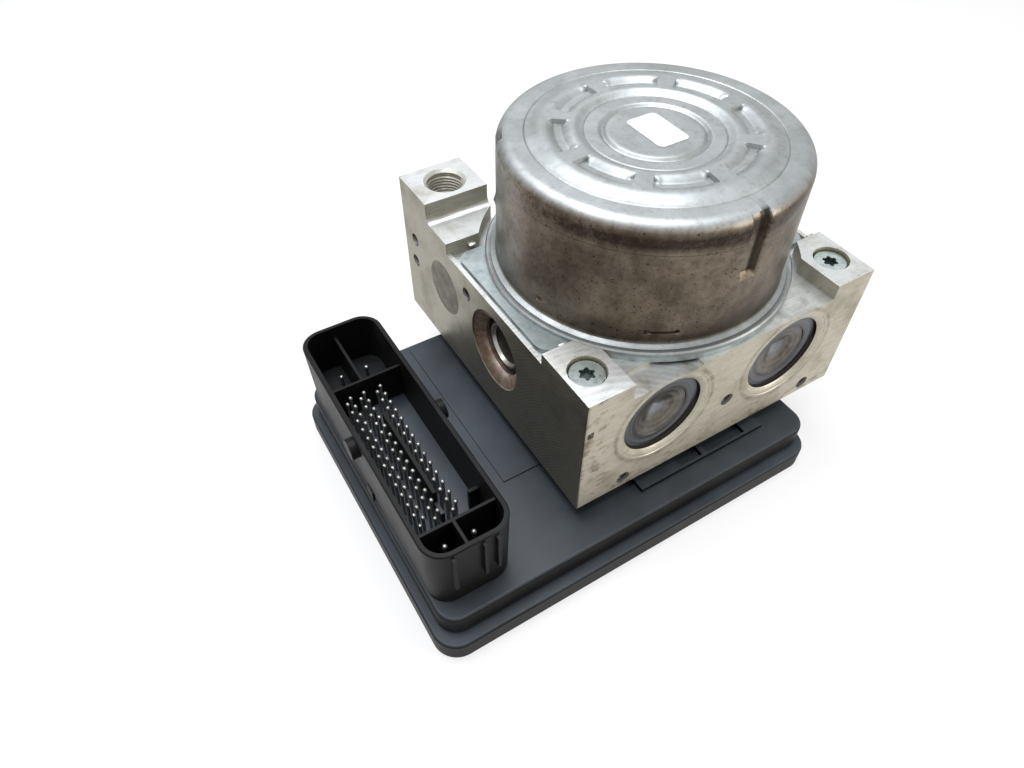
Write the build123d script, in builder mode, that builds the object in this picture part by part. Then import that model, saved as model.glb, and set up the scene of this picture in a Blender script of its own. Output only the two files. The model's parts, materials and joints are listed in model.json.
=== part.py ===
from build123d import *
import math
import os

# Anti-lock brake hydraulic unit: a milled valve block with its pump motor on top and its
# electronic control unit underneath. The origin is on the motor axis, at the underside of the
# control unit's lid. +Z is up the motor axis, -Y is the face with the accumulator caps, and -X
# is the side with the electrical connector. All sizes are millimetres.

os.makedirs("parts", exist_ok=True)

# General clearances
seat_gap = 0.02
running_gap = 0.05
rest_gap = 0.3

# Control unit: a wide lid with the narrower upper tier of the housing on it
unit_x0 = -95.3
unit_x1 = 33.0
unit_y0 = -56.9
unit_y1 = 40.4
unit_corner_r = 7.0
lid_h = 6.7
lid_floor = 1.8
lid_foot_chamfer = 0.5
lid_edge_r = 0.8
housing_h = 7.2
housing_plate = 2.0
housing_edge_r = 1.0
tier_in_left = 2.4
tier_in_front = 3.4
tier_in_back = 0.4
tier_corner_r = 6.0
groove_d = 1.6
groove_h = 0.9
unit_wall = 1.6
panel_x0 = -58.3
panel_y0 = -23.5
panel_h = 0.4
pedestal_h = 4.4
seal_h = 0.6
seal_inset = 0.6

# Valve block
block_w = 95.0
block_front = 43.6
block_rear = 34.5
block_h = 38.2
ear_w = 20.4
ear_y = 55.1
ledge_y = 26.2
post_y = 38.1
pad_w = 13.6
pad_l = 19.9
pad_h = 4.5
post_h = 10.6
lip_w = 1.3
lip_h = 1.0
front_step_w = 21.9
front_step_l = 7.5
front_step_d = 0.8
motor_clear_r = 45.2
corner_r = 3.0
post_foot_r = 2.5

# Ports
master_r = 5.46
master_mouth_r = 6.4
master_in = 10.8
master_y = 46.4
wheel_r = 4.46
wheel_mouth_r = 5.3
wheel_x = 14.0
wheel_drop_high = 12.0
wheel_drop_low = 29.0
wheel_depth = 11.0
wheel_passage_depth = 4.2
master_depth = 13.0
passage_r = 1.75
passage_depth = 8.0

# Motor
can_r = 40.0
can_wall = 2.0
can_rise = 38.2
can_shoulder_r = 3.5
foot_r = 43.2
foot_t = 1.4
flange_t = 1.5
wing_x = 45.6
wing_y0 = -21.5
wing_y1 = 24.0
wing_r = 4.0
crown_h = 1.0
hub_r = 12.4
hub_groove_w = 1.6
hub_groove_d = 0.7
ring_in_r = 17.9
ring_out_r = 32.8
ring_slope_w = 2.0
slot_r = 24.2
slot_w = 2.2
slot_span = 34.5
slot_count = 8
slot_start = 22.5
slot_d = 1.0
bead_w = 4.6
bead_d = 1.4
bead_l = 20.0
bead_angle = -91.0
bead_count = 3

# Motor inside
shaft_r = 4.0
magnet_t = 7.0
magnet_h = 22.0
magnet_span = 70.0
magnet_count = 4
magnet_lift = 8.0
air_gap = 0.6
core_h = 18.0
core_slots = 12
slot_depth = 14.0
core_slot_w = 5.0
end_turn_h = 3.6
end_turn_in_r = 13.0
commutator_r = 10.5
commutator_h = 7.0
commutator_bars = 12
brush_plate_t = 1.6
brush_w = 5.0
brush_h = 4.5
brush_l = 9.0
brush_gap = 0.2
brush_wall = 1.2
brush_box_gap = 8.0
bush_r = 6.5
bush_h = 4.0
bearing_r = 11.0
bearing_h = 7.0
bearing_inner_r = 6.2
bearing_outer_in_r = 8.8
bearing_shield_gap = 0.3
ball_r = 1.25
ball_count = 7
cage_r0 = 7.1
cage_r1 = 7.9
bearing_hub_wall = 2.6
terminal_y = 26.0
terminal_r = 3.9
terminal_pitch = 3.2
terminal_w = 1.4
terminal_t = 0.8

# Pump, driven by the eccentric journal on the motor shaft
pump_drop = 15.0
eccentricity = 1.25
journal_r = 6.0
ring_wall = 3.0
ring_h = 9.0
drive_gap = 0.15
cavity_r = 12.5
cavity_seat_r = 14.0
cavity_seat_h = 7.5
cavity_below = 7.5
pump_bore_r = 9.0
pump_mouth_r = 12.3
pump_mouth_d = 3.0
pump_plug_t = 4.0
pump_plug_sink = 0.7
plug_ring_r = 6.4
plug_ring_w = 0.7
plug_ring_h = 0.5
piston_r = 4.0
piston_guide = 14.0
piston_head_r = 5.2
piston_head_t = 2.0
spring_chamber_r = 5.6
pump_spring_r = 4.6
pump_spring_wire = 0.9
pump_spring_turns = 3

# Accumulators
acc_in = 26.1
acc_drop = 15.2
acc_r = 12.6
acc_depth = 24.0
acc_step_r = 13.4
acc_step_d = 3.2
acc_mouth_r = 14.6
acc_mouth_d = 1.2
cap_t = 1.5
cap_rim_w = 1.0
cap_dish_d = 1.7
cap_centre_d = 2.2
cap_centre_r = 5.0
acc_piston_l = 9.0
acc_cup_r = 10.8
acc_cup_d = 6.0
acc_seal_w = 2.2
acc_seal_t = 1.6
acc_spring_r = 9.8
acc_spring_wire = 1.4
acc_spring_turns = 3
acc_travel = 8.0
acc_fit = 0.08

# Valves and coils
valve_pitch_x = 17.6
valve_pitch_y = 19.5
valve_x0 = -32.6
valve_y0 = -25.0
valve_r = 5.0
valve_depth = 9.0
valve_collar_h = 1.0
dome_r = 3.0
dome_l = 12.0
coil_in_r = 3.2
coil_r = 6.8
yoke_w = 8.0
yoke_side = 7.6
yoke_wall = 0.7
yoke_plate = 1.2
sensor_r = 4.6
sensor_depth = 6.0
sensor_l = 10.0

# Circuit board
board_z = 3.0
board_t = 1.6
board_gap = 0.8
chip_from_side = 30.0
chip_w = 14.0
chip_t = 1.6
chip_low_y = -22.0
chip_high_y = 4.0
capacitor_r = 4.0
capacitor_h = 6.5
capacitor_y = 26.0
capacitor_pitch = 11.0
board_post_r = 2.5

# Housing pedestal
pedestal_x0 = -44.0
pedestal_x1 = 31.0
pedestal_y0 = -40.5
pedestal_y1 = 31.5
pedestal_wall = 2.9
pedestal_r = 2.0
boss_r = 4.3
boss_in = 4.8
plinth_x0 = -26.7
plinth_x1 = 19.0
plinth_out = 6.1
plinth_h = 1.4
plinth_ridge = 0.8
plinth_pockets = ((-8.0, 8.0), (5.2, 14.5))
housing_screw_r = 2.0
housing_head_r = 3.0
housing_head_h = 2.4
housing_screw_grip = 8.0

# Connector shroud
shroud_x0 = -92.65
shroud_w = 24.0
shroud_y0 = -48.55
shroud_l = 85.95
shroud_r = 6.4
shroud_h = 23.5
shroud_wall = 1.4
shroud_draft = 1.5
shroud_foot_inset = 2.8
shroud_rim_chamfer = 0.35
shroud_floor = 8.1
shroud_plate = 2.5
web_t = 0.8
front_web_drop = 1.2
rear_web_drop = 3.4
rear_web_y = 15.5
front_web_y = -39.3
stem_x = -81.9
key_rib_x = -80.9
key_rib_t = 1.0
key_rib_y0 = -27.0
key_rib_y1 = 4.0
key_rib_h = 9.0
key_rib_step_l = 4.0
key_rib_step_h = 4.5
key_stub_w = 2.8
key_stub_y = -30.6
key_stub_h = 8.2
end_rib_t = 0.9
end_rib_out = 1.2
end_rib_h = 13.5
end_rib_drop = 1.0
end_rib_spots = (5.8, 14.1, 17.8)
pivot_r = 3.0
pivot_out = 2.2
pivot_y = -4.8
pivot_drop = 4.3
foot_lug_y = -8.0
foot_lug_w = 4.0
foot_lug_h = 3.5

# Pins
pin_w = 0.64
pin_top = 17.1
pin_taper = 0.8
pin_pitch = 3.5
pin_rows = 14
pin_first_y = 11.6
pin_stagger_x = 1.6
band_left_x = -88.4
band_mid_x = -84.3
band_right_x = -79.2
power_pin_r = 0.5
power_pin_taper = 0.4
rear_pin_left_x = -84.9
front_pin_left_x = -86.2
power_pin_pitch = 8.0
rear_pin_y = 26.4
front_pin_y = -42.9
rear_pin_top = 12.6
front_pin_top = 18.6

# Screws on the front pads
screw_in = 6.3
screw_y = 34.0
screw_r = 2.5
screw_l = 16.0
screw_head_r = 4.4
screw_head_h = 2.6
screw_sink = 1.0
screw_bore_r = 5.05
torx_r = 2.2
torx_lobe_r = 0.55
torx_d = 1.6

# Plugs that close the drillings
plug_r = 2.1
plug_t = 3.0
plug_sink = 0.9
plug_bore = 8.0
side_plug_y = 15.0
side_plug_drop = 5.6
ear_plug_y = 47.9
ear_plug_drop = 8.0
ear_low_plug_y = 48.9
ear_low_plug_drop = 16.8
middle_plug_x = 1.9
middle_plug_drop = 22.3
low_plug_left_x = -32.2
low_plug_right_x = 35.9
low_plug_drop = 34.7
damper_r = 8.6
damper_t = 3.0
damper_depth = 9.0
damper_y = 29.2
damper_drop = 13.6

# Label on the motor
label_w = 9.4
label_l = 14.6
label_t = 0.2
label_r = 1.5
label_x = 0.75

# Levels
tray_z = lid_h + housing_h
block_z = tray_z + pedestal_h
top_z = block_z + block_h
pad_z = top_z + pad_h
post_z = top_z + post_h
flange_z = top_z + flange_t
can_top_z = top_z + can_rise
can_roof_z = can_top_z - can_wall
can_in_r = can_r - can_wall
brush_box_end = can_in_r - brush_box_gap
pump_z = top_z - pump_drop
acc_z = top_z - acc_drop
side_x = block_w / 2
master_x = side_x - master_in
acc_x = side_x - acc_in
screw_x = side_x - screw_in
unit_cx = (unit_x0 + unit_x1) / 2
unit_cy = (unit_y0 + unit_y1) / 2
unit_w = unit_x1 - unit_x0
unit_l = unit_y1 - unit_y0
tier_x0 = unit_x0 + tier_in_left
tier_x1 = unit_x1 - tier_in_back
tier_y0 = unit_y0 + tier_in_front
tier_y1 = unit_y1 - tier_in_back
tier_cx = (tier_x0 + tier_x1) / 2
tier_cy = (tier_y0 + tier_y1) / 2
tier_w = tier_x1 - tier_x0
tier_l = tier_y1 - tier_y0
hollow_in = groove_d + unit_wall
hollow_w = tier_w - 2 * hollow_in
hollow_l = tier_l - 2 * hollow_in
hollow_r = tier_corner_r - hollow_in
pedestal_cx = (pedestal_x0 + pedestal_x1) / 2
pedestal_cy = (pedestal_y0 + pedestal_y1) / 2
pedestal_w = pedestal_x1 - pedestal_x0
pedestal_l = pedestal_y1 - pedestal_y0
pedestal_z = block_z - seal_h
shroud_cx = shroud_x0 + shroud_w / 2
shroud_cy = shroud_y0 + shroud_l / 2
shroud_x1 = shroud_x0 + shroud_w
shroud_y1 = shroud_y0 + shroud_l
rim_z = tray_z + shroud_h
floor_z = tray_z + shroud_floor
board_top_z = board_z + board_t
coil_z = board_top_z + rest_gap
coil_top_z = block_z - valve_collar_h - rest_gap
ring_r = journal_r + running_gap + ring_wall
pump_plug_x = side_x - pump_mouth_d - pump_plug_sink
piston_in_x = ring_r + eccentricity + drive_gap
piston_travel = 2 * eccentricity
sides = ((-1, "left"), (1, "right"))

# Faces of the block, each with its local y along Z
left_face = Plane(origin=(-side_x, 0, 0), x_dir=(0, -1, 0), z_dir=(-1, 0, 0))
right_face = Plane(origin=(side_x, 0, 0), x_dir=(0, 1, 0), z_dir=(1, 0, 0))
front_face = Plane(origin=(0, -block_front, 0), x_dir=(1, 0, 0), z_dir=(0, -1, 0))
rear_face = Plane(origin=(0, block_rear, 0), x_dir=(-1, 0, 0), z_dir=(0, 1, 0))
pump_axis = Axis((0, 0, pump_z), (1, 0, 0))
pump_plane = Plane(origin=(0, 0, pump_z), x_dir=(1, 0, 0), z_dir=(0, -1, 0))
motor_axis = Axis((0, 0, 0), (0, 0, 1))
motor_plane = Plane.XZ

valve_spots = []
for column in range(4):
    for row in range(3):
        spot = (valve_x0 + column * valve_pitch_x, valve_y0 + row * valve_pitch_y)
        valve_spots.append(spot)
sensor_spot = (valve_x0 + valve_pitch_x / 2, pedestal_y1 - pedestal_wall - sensor_r - rest_gap)

boss_spots = []
for boss_x in (pedestal_x0 + boss_in, pedestal_x1 - boss_in):
    for boss_y in (pedestal_y0 + boss_in, pedestal_y1 - boss_in):
        boss_spots.append((boss_x, boss_y))

# Connector pins: three bands of two staggered columns, and two power pins in each end chamber
pin_spots = []
for band_x in (band_left_x, band_mid_x, band_right_x):
    for index in range(pin_rows):
        pin_y = pin_first_y - index * pin_pitch
        pin_spots.append((band_x, pin_y))
        pin_spots.append((band_x + pin_stagger_x, pin_y + pin_pitch / 2))

rear_pin_spots = (
    (rear_pin_left_x, rear_pin_y),
    (rear_pin_left_x + power_pin_pitch, rear_pin_y),
)
front_pin_spots = (
    (front_pin_left_x, front_pin_y),
    (front_pin_left_x + power_pin_pitch, front_pin_y),
)
power_pins = ((rear_pin_spots, rear_pin_top), (front_pin_spots, front_pin_top))

# Drilling plugs in the side faces (y, z) and in the front face (x, z)
side_plugs = (
    (side_plug_y, top_z - side_plug_drop),
    (ear_plug_y, top_z - ear_plug_drop),
    (ear_low_plug_y, top_z - ear_low_plug_drop),
)
front_plugs = (
    (middle_plug_x, top_z - middle_plug_drop),
    (low_plug_left_x, top_z - low_plug_drop),
    (low_plug_right_x, top_z - low_plug_drop),
)


def half_profile(points):
    """Closed outline of a turned part, drawn on one side of its axis."""
    with BuildSketch(mode=Mode.PRIVATE) as outline:
        with BuildLine():
            Polyline(*points, close=True)
        make_face()
    return outline.sketch


# Hydraulic block
with BuildPart() as block:
    with BuildSketch(Plane.XY.offset(block_z)):
        with BuildLine():
            Polyline(
                (-side_x, -block_front),
                (side_x, -block_front),
                (side_x, ear_y),
                (side_x - ear_w, ear_y),
                (side_x - ear_w, block_rear),
                (ear_w - side_x, block_rear),
                (ear_w - side_x, ear_y),
                (-side_x, ear_y),
                close=True,
            )
        make_face()
        inner_corners = [
            corner
            for corner in vertices()
            if abs(corner.Y - block_rear) < 0.01 and abs(corner.X) < side_x - 1
        ]
        fillet(inner_corners, corner_r)
    extrude(amount=block_h)
    for side, _ in sides:
        with BuildSketch(Plane.XY.offset(top_z)):
            with Locations((side * (side_x - pad_w / 2), -block_front + pad_l / 2)):
                Rectangle(pad_w, pad_l)
            with Locations((side * (side_x - ear_w / 2), (ledge_y + ear_y) / 2)):
                Rectangle(ear_w, ear_y - ledge_y)
        extrude(amount=pad_h)
        with BuildSketch(Plane.XY.offset(pad_z)):
            with Locations((side * (side_x - ear_w / 2), (post_y + ear_y) / 2)):
                Rectangle(ear_w, ear_y - post_y)
        extrude(amount=post_z - pad_z)
        with BuildSketch(Plane.XY.offset(top_z)):
            with Locations((side * (side_x - lip_w / 2), (ledge_y + pad_l - block_front) / 2)):
                Rectangle(lip_w, ledge_y - pad_l + block_front)
        extrude(amount=lip_h)
    post_feet = [
        edge
        for edge in edges().filter_by(Axis.X)
        if abs(edge.center().Z - pad_z) < 0.01 and abs(edge.center().Y - post_y) < 0.01
    ]
    fillet(post_feet, post_foot_r)
    # Room for the motor flange between the raised parts
    with BuildSketch(Plane.XY.offset(top_z)):
        Circle(motor_clear_r)
    extrude(amount=post_h, mode=Mode.SUBTRACT)
    # Milled step along the front edge
    with BuildSketch(Plane.XY.offset(top_z)):
        with Locations((-side_x + pad_w + front_step_w / 2, -block_front + front_step_l / 2)):
            Rectangle(front_step_w, front_step_l)
    extrude(amount=-front_step_d, mode=Mode.SUBTRACT)
    # Shaft cavity with the seat of the motor's spigot
    with BuildSketch(Plane.XY.offset(top_z)):
        Circle(cavity_seat_r)
    extrude(amount=-cavity_seat_h, mode=Mode.SUBTRACT)
    with BuildSketch(Plane.XY.offset(top_z)):
        Circle(cavity_r)
    extrude(amount=-(pump_drop + cavity_below), mode=Mode.SUBTRACT)
    # Passage for the motor's terminal stalk
    with BuildSketch(Plane.XY.offset(block_z)):
        with Locations((0, terminal_y)):
            Circle(terminal_r + seat_gap)
    extrude(amount=block_h, mode=Mode.SUBTRACT)
    for side, _ in sides:
        # Pump bore with its conical mouth
        with BuildSketch(pump_plane):
            add(
                half_profile(
                    (
                        (side * side_x, 0),
                        (side * side_x, pump_mouth_r),
                        (side * (side_x - pump_mouth_d), pump_bore_r + seat_gap),
                        (side * cavity_r / 2, pump_bore_r + seat_gap),
                        (side * cavity_r / 2, 0),
                    )
                )
            )
        revolve(axis=pump_axis, mode=Mode.SUBTRACT)
        # Accumulator bore with its stepped, chamfered mouth
        acc_axis = Axis((side * acc_x, 0, acc_z), (0, 1, 0))
        acc_plane = Plane(origin=(side * acc_x, 0, acc_z), x_dir=(0, 1, 0), z_dir=(1, 0, 0))
        with BuildSketch(acc_plane):
            add(
                half_profile(
                    (
                        (-block_front, 0),
                        (-block_front, acc_mouth_r),
                        (-block_front + acc_mouth_d, acc_step_r + seat_gap),
                        (-block_front + acc_step_d, acc_step_r + seat_gap),
                        (-block_front + acc_step_d, acc_r),
                        (-block_front + acc_depth, acc_r),
                        (-block_front + acc_depth, 0),
                    )
                )
            )
        revolve(axis=acc_axis, mode=Mode.SUBTRACT)
        # Master-cylinder port and the drilling under it
        with BuildSketch(Plane.XY.offset(post_z)):
            with Locations((side * master_x, master_y)):
                Circle(master_r)
        extrude(amount=-master_depth, mode=Mode.SUBTRACT)
        with BuildSketch(Plane.XY.offset(post_z)):
            with Locations((side * master_x, master_y)):
                Circle(master_mouth_r)
        extrude(amount=-(master_mouth_r - master_r), taper=45, mode=Mode.SUBTRACT)
        with BuildSketch(Plane.XY.offset(post_z - master_depth)):
            with Locations((side * master_x, master_y)):
                Circle(passage_r)
        extrude(amount=-passage_depth, mode=Mode.SUBTRACT)
        # Counterbored screw hole in the pad
        with BuildSketch(Plane.XY.offset(pad_z)):
            with Locations((side * screw_x, -screw_y)):
                Circle(screw_bore_r)
        extrude(amount=-(screw_sink + screw_head_h), mode=Mode.SUBTRACT)
        with BuildSketch(Plane.XY.offset(pad_z - screw_sink - screw_head_h)):
            with Locations((side * screw_x, -screw_y)):
                Circle(screw_r + seat_gap)
        extrude(amount=-(screw_l + rest_gap), mode=Mode.SUBTRACT)
        # Side drillings and the damper chamber
        face = left_face if side < 0 else right_face
        with BuildSketch(face):
            for plug_y, plug_z in side_plugs:
                with Locations((side * plug_y, plug_z)):
                    Circle(plug_r + seat_gap)
        extrude(amount=-plug_bore, mode=Mode.SUBTRACT)
        with BuildSketch(face):
            with Locations((side * damper_y, top_z - damper_drop)):
                Circle(damper_r + seat_gap)
        extrude(amount=-damper_depth, mode=Mode.SUBTRACT)
    # Front drillings
    with BuildSketch(front_face):
        with Locations(*front_plugs):
            Circle(plug_r + seat_gap)
    extrude(amount=-plug_bore, mode=Mode.SUBTRACT)
    # Wheel ports in the rear face, each with the start of the drilling behind it
    for drop in (wheel_drop_high, wheel_drop_low):
        for side, _ in sides:
            with BuildSketch(rear_face):
                with Locations((side * wheel_x, top_z - drop)):
                    Circle(wheel_r)
            extrude(amount=-wheel_depth, mode=Mode.SUBTRACT)
            with BuildSketch(rear_face):
                with Locations((side * wheel_x, top_z - drop)):
                    Circle(wheel_mouth_r)
            extrude(amount=-(wheel_mouth_r - wheel_r), taper=45, mode=Mode.SUBTRACT)
            with BuildSketch(rear_face):
                with Locations((side * wheel_x, top_z - drop)):
                    Circle(passage_r)
            extrude(amount=-(wheel_depth + wheel_passage_depth), mode=Mode.SUBTRACT)
    # Valve, sensor and screw holes in the underside
    with BuildSketch(Plane.XY.offset(block_z)):
        with Locations(*valve_spots):
            Circle(valve_r + seat_gap)
    extrude(amount=valve_depth, mode=Mode.SUBTRACT)
    with BuildSketch(Plane.XY.offset(block_z)):
        with Locations(sensor_spot):
            Circle(sensor_r + seat_gap)
    extrude(amount=sensor_depth, mode=Mode.SUBTRACT)
    with BuildSketch(Plane.XY.offset(block_z)):
        with Locations(*boss_spots):
            Circle(housing_screw_r + seat_gap)
    extrude(amount=housing_screw_grip + rest_gap, mode=Mode.SUBTRACT)
block.part.label = "hydraulic_block"
export_step(block.part, "parts/hydraulic_block.step")

# Motor flange: a plate with two wings, and a spigot that holds the lower bearing
spigot_z = top_z - cavity_seat_h + rest_gap
with BuildPart() as flange:
    with BuildSketch(Plane.XY.offset(top_z)):
        Circle(foot_r)
        with Locations((0, (wing_y0 + wing_y1) / 2)):
            RectangleRounded(2 * wing_x, wing_y1 - wing_y0, wing_r)
        Circle(bearing_outer_in_r, mode=Mode.SUBTRACT)
        with Locations((0, terminal_y)):
            Circle(terminal_r + seat_gap, mode=Mode.SUBTRACT)
    extrude(amount=flange_t)
    with BuildSketch(Plane.XY.offset(spigot_z)):
        Circle(bearing_r + bearing_hub_wall)
        Circle(bearing_r + seat_gap, mode=Mode.SUBTRACT)
    extrude(amount=top_z - spigot_z)
flange.part.label = "motor_flange"
export_step(flange.part, "parts/motor_flange.step")

# Motor can: drawn shell with a crowned ring, eight embossed slots and three beads
crown_z = can_top_z + crown_h
bush_seat_z = can_roof_z - bush_h
with BuildPart() as can:
    with BuildSketch(motor_plane):
        with BuildLine():
            Polyline(
                (0, can_top_z),
                (hub_r, can_top_z),
                (hub_r + hub_groove_w / 2, can_top_z - hub_groove_d),
                (hub_r + hub_groove_w, can_top_z),
                (ring_in_r, can_top_z),
                (ring_in_r + ring_slope_w, crown_z),
            )
            ThreePointArc(
                (ring_in_r + ring_slope_w, crown_z),
                ((ring_in_r + ring_out_r) / 2 + ring_slope_w, can_top_z + 0.9 * crown_h),
                (ring_out_r, can_top_z),
            )
            Line((ring_out_r, can_top_z), (can_r - can_shoulder_r, can_top_z))
            RadiusArc(
                (can_r - can_shoulder_r, can_top_z),
                (can_r, can_top_z - can_shoulder_r),
                can_shoulder_r,
            )
            Polyline(
                (can_r, can_top_z - can_shoulder_r),
                (can_r, flange_z + foot_t),
                (foot_r, flange_z + foot_t),
                (foot_r, flange_z),
                (can_in_r, flange_z),
                (can_in_r, can_roof_z),
                (bush_r + can_wall, can_roof_z),
                (bush_r + can_wall, bush_seat_z),
                (bush_r + seat_gap, bush_seat_z),
                (bush_r + seat_gap, can_roof_z),
                (0, can_roof_z),
                (0, can_top_z),
            )
        make_face()
    revolve(axis=motor_axis)
    # Embossed slots
    for index in range(slot_count):
        middle = slot_start + index * 360 / slot_count
        with BuildSketch(Plane.XY.offset(crown_z - slot_d)):
            with PolarLocations(0, 1, start_angle=middle - slot_span / 2):
                SlotArc(
                    CenterArc((0, 0), slot_r, 0, slot_span, mode=Mode.PRIVATE),
                    slot_w,
                )
        extrude(amount=crown_h + slot_d, mode=Mode.SUBTRACT)
    # Vertical beads, pressed in from the shoulder down
    for index in range(bead_count):
        with BuildSketch(Plane.XY.offset(can_top_z - bead_l)):
            with PolarLocations(can_r, 1, start_angle=bead_angle + index * 360 / bead_count):
                with Locations((0, 0)):
                    Rectangle(2 * bead_d, bead_w)
        extrude(amount=bead_l + crown_h, mode=Mode.SUBTRACT)
can.part.label = "motor_can"
export_step(can.part, "parts/motor_can.step")

with BuildPart() as label:
    with BuildSketch(Plane.XY.offset(can_top_z)):
        with Locations((label_x, 0)):
            RectangleRounded(label_w, label_l, label_r)
    extrude(amount=label_t)
label.part.label = "motor_label"
export_step(label.part, "parts/motor_label.step")

# Four arc magnets bonded inside the can
magnet_z = flange_z + magnet_lift
magnet_in_r = can_in_r - magnet_t
with BuildPart() as magnets:
    for index in range(magnet_count):
        start = index * 360 / magnet_count - magnet_span / 2
        with BuildSketch(Plane.XY.offset(magnet_z)):
            with BuildLine():
                outer_arc = CenterArc((0, 0), can_in_r - seat_gap, start, magnet_span)
                inner_arc = CenterArc((0, 0), magnet_in_r, start, magnet_span)
                Line(outer_arc @ 0, inner_arc @ 0)
                Line(outer_arc @ 1, inner_arc @ 1)
            make_face()
        extrude(amount=magnet_h)
magnets.part.label = "motor_magnets"
export_step(magnets.part, "parts/motor_magnets.step")

# Upper bush in the can's hub
with BuildPart() as bush:
    with BuildSketch(Plane.XY.offset(bush_seat_z)):
        Circle(bush_r)
        Circle(shaft_r + running_gap, mode=Mode.SUBTRACT)
    extrude(amount=bush_h - rest_gap)
bush.part.label = "upper_bush"
export_step(bush.part, "parts/upper_bush.step")

# Lower ball bearing with its two shields
bearing_z = top_z - bearing_h
with BuildPart() as bearing_outer:
    with BuildSketch(Plane.XY.offset(bearing_z)):
        Circle(bearing_r)
        Circle(bearing_outer_in_r, mode=Mode.SUBTRACT)
    extrude(amount=bearing_h)
    for shield_z in (bearing_z + 0.6, top_z - 1.0):
        with BuildSketch(Plane.XY.offset(shield_z)):
            Circle(bearing_outer_in_r)
            Circle(bearing_inner_r + bearing_shield_gap, mode=Mode.SUBTRACT)
        extrude(amount=0.4)
bearing_outer.part.label = "bearing_outer_race"
export_step(bearing_outer.part, "parts/bearing_outer_race.step")

with BuildPart() as bearing_inner:
    with BuildSketch(Plane.XY.offset(bearing_z)):
        Circle(bearing_inner_r)
        Circle(shaft_r + seat_gap, mode=Mode.SUBTRACT)
    extrude(amount=bearing_h)
bearing_inner.part.label = "bearing_inner_race"
export_step(bearing_inner.part, "parts/bearing_inner_race.step")

ball_ring_r = (bearing_inner_r + bearing_outer_in_r) / 2
ball_z = top_z - bearing_h / 2
with BuildPart() as balls:
    with Locations((0, 0, ball_z)):
        with PolarLocations(ball_ring_r, ball_count):
            Sphere(ball_r)
balls.part.label = "bearing_balls"
export_step(balls.part, "parts/bearing_balls.step")

with BuildPart() as cage:
    with BuildSketch(Plane.XY.offset(ball_z - ball_r / 2)):
        Circle(cage_r1)
        Circle(cage_r0, mode=Mode.SUBTRACT)
    extrude(amount=1.5 * ball_r)
    with Locations((0, 0, ball_z)):
        with PolarLocations(ball_ring_r, ball_count):
            Sphere(ball_r + running_gap, mode=Mode.SUBTRACT)
cage.part.label = "bearing_cage"
export_step(cage.part, "parts/bearing_cage.step")

# Motor shaft with the eccentric journal that drives the pump
journal_z = pump_z - ring_h / 2
with BuildPart() as shaft:
    with BuildSketch(Plane.XY.offset(journal_z)):
        Circle(shaft_r)
    extrude(amount=can_roof_z - rest_gap - journal_z)
    with BuildSketch(Plane.XY.offset(journal_z)):
        with Locations((eccentricity, 0)):
            Circle(journal_r)
    extrude(amount=ring_h)
shaft.part.label = "motor_shaft"
export_step(shaft.part, "parts/motor_shaft.step")

with BuildPart() as drive_ring:
    with BuildSketch(Plane.XY.offset(journal_z)):
        with Locations((eccentricity, 0)):
            Circle(ring_r)
            Circle(journal_r + running_gap, mode=Mode.SUBTRACT)
    extrude(amount=ring_h)
drive_ring.part.label = "drive_ring"
export_step(drive_ring.part, "parts/drive_ring.step")

# Armature core, slotted for the windings
core_r = magnet_in_r - air_gap
core_z = magnet_z + (magnet_h - core_h) / 2
slot_floor_r = core_r - slot_depth
with BuildPart() as core:
    with BuildSketch(Plane.XY.offset(core_z)):
        Circle(core_r)
        Circle(shaft_r + seat_gap, mode=Mode.SUBTRACT)
        with PolarLocations((core_r + slot_floor_r) / 2, core_slots):
            Rectangle(core_r - slot_floor_r, core_slot_w, mode=Mode.SUBTRACT)
    extrude(amount=core_h)
core.part.label = "armature_core"
export_step(core.part, "parts/armature_core.step")

# Copper windings: bars in the slots, joined by end turns
winding_r = core_r - 2.0
with BuildPart() as windings:
    with BuildSketch(Plane.XY.offset(core_z)):
        with PolarLocations((winding_r + slot_floor_r) / 2, core_slots):
            Rectangle(winding_r - slot_floor_r, core_slot_w)
    extrude(amount=core_h)
    for turn_z in (core_z - end_turn_h, core_z + core_h):
        with BuildSketch(Plane.XY.offset(turn_z)):
            Circle(winding_r)
            Circle(end_turn_in_r, mode=Mode.SUBTRACT)
        extrude(amount=end_turn_h)
windings.part.label = "armature_windings"
export_step(windings.part, "parts/armature_windings.step")

commutator_z = flange_z + brush_plate_t + rest_gap
with BuildPart() as commutator:
    with BuildSketch(Plane.XY.offset(commutator_z)):
        Circle(commutator_r)
        Circle(shaft_r + seat_gap, mode=Mode.SUBTRACT)
    extrude(amount=commutator_h)
    with BuildSketch(Plane.XY.offset(commutator_z)):
        with PolarLocations(commutator_r, commutator_bars):
            Rectangle(1.6, 0.5)
    extrude(amount=commutator_h, mode=Mode.SUBTRACT)
commutator.part.label = "commutator"
export_step(commutator.part, "parts/commutator.step")

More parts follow.
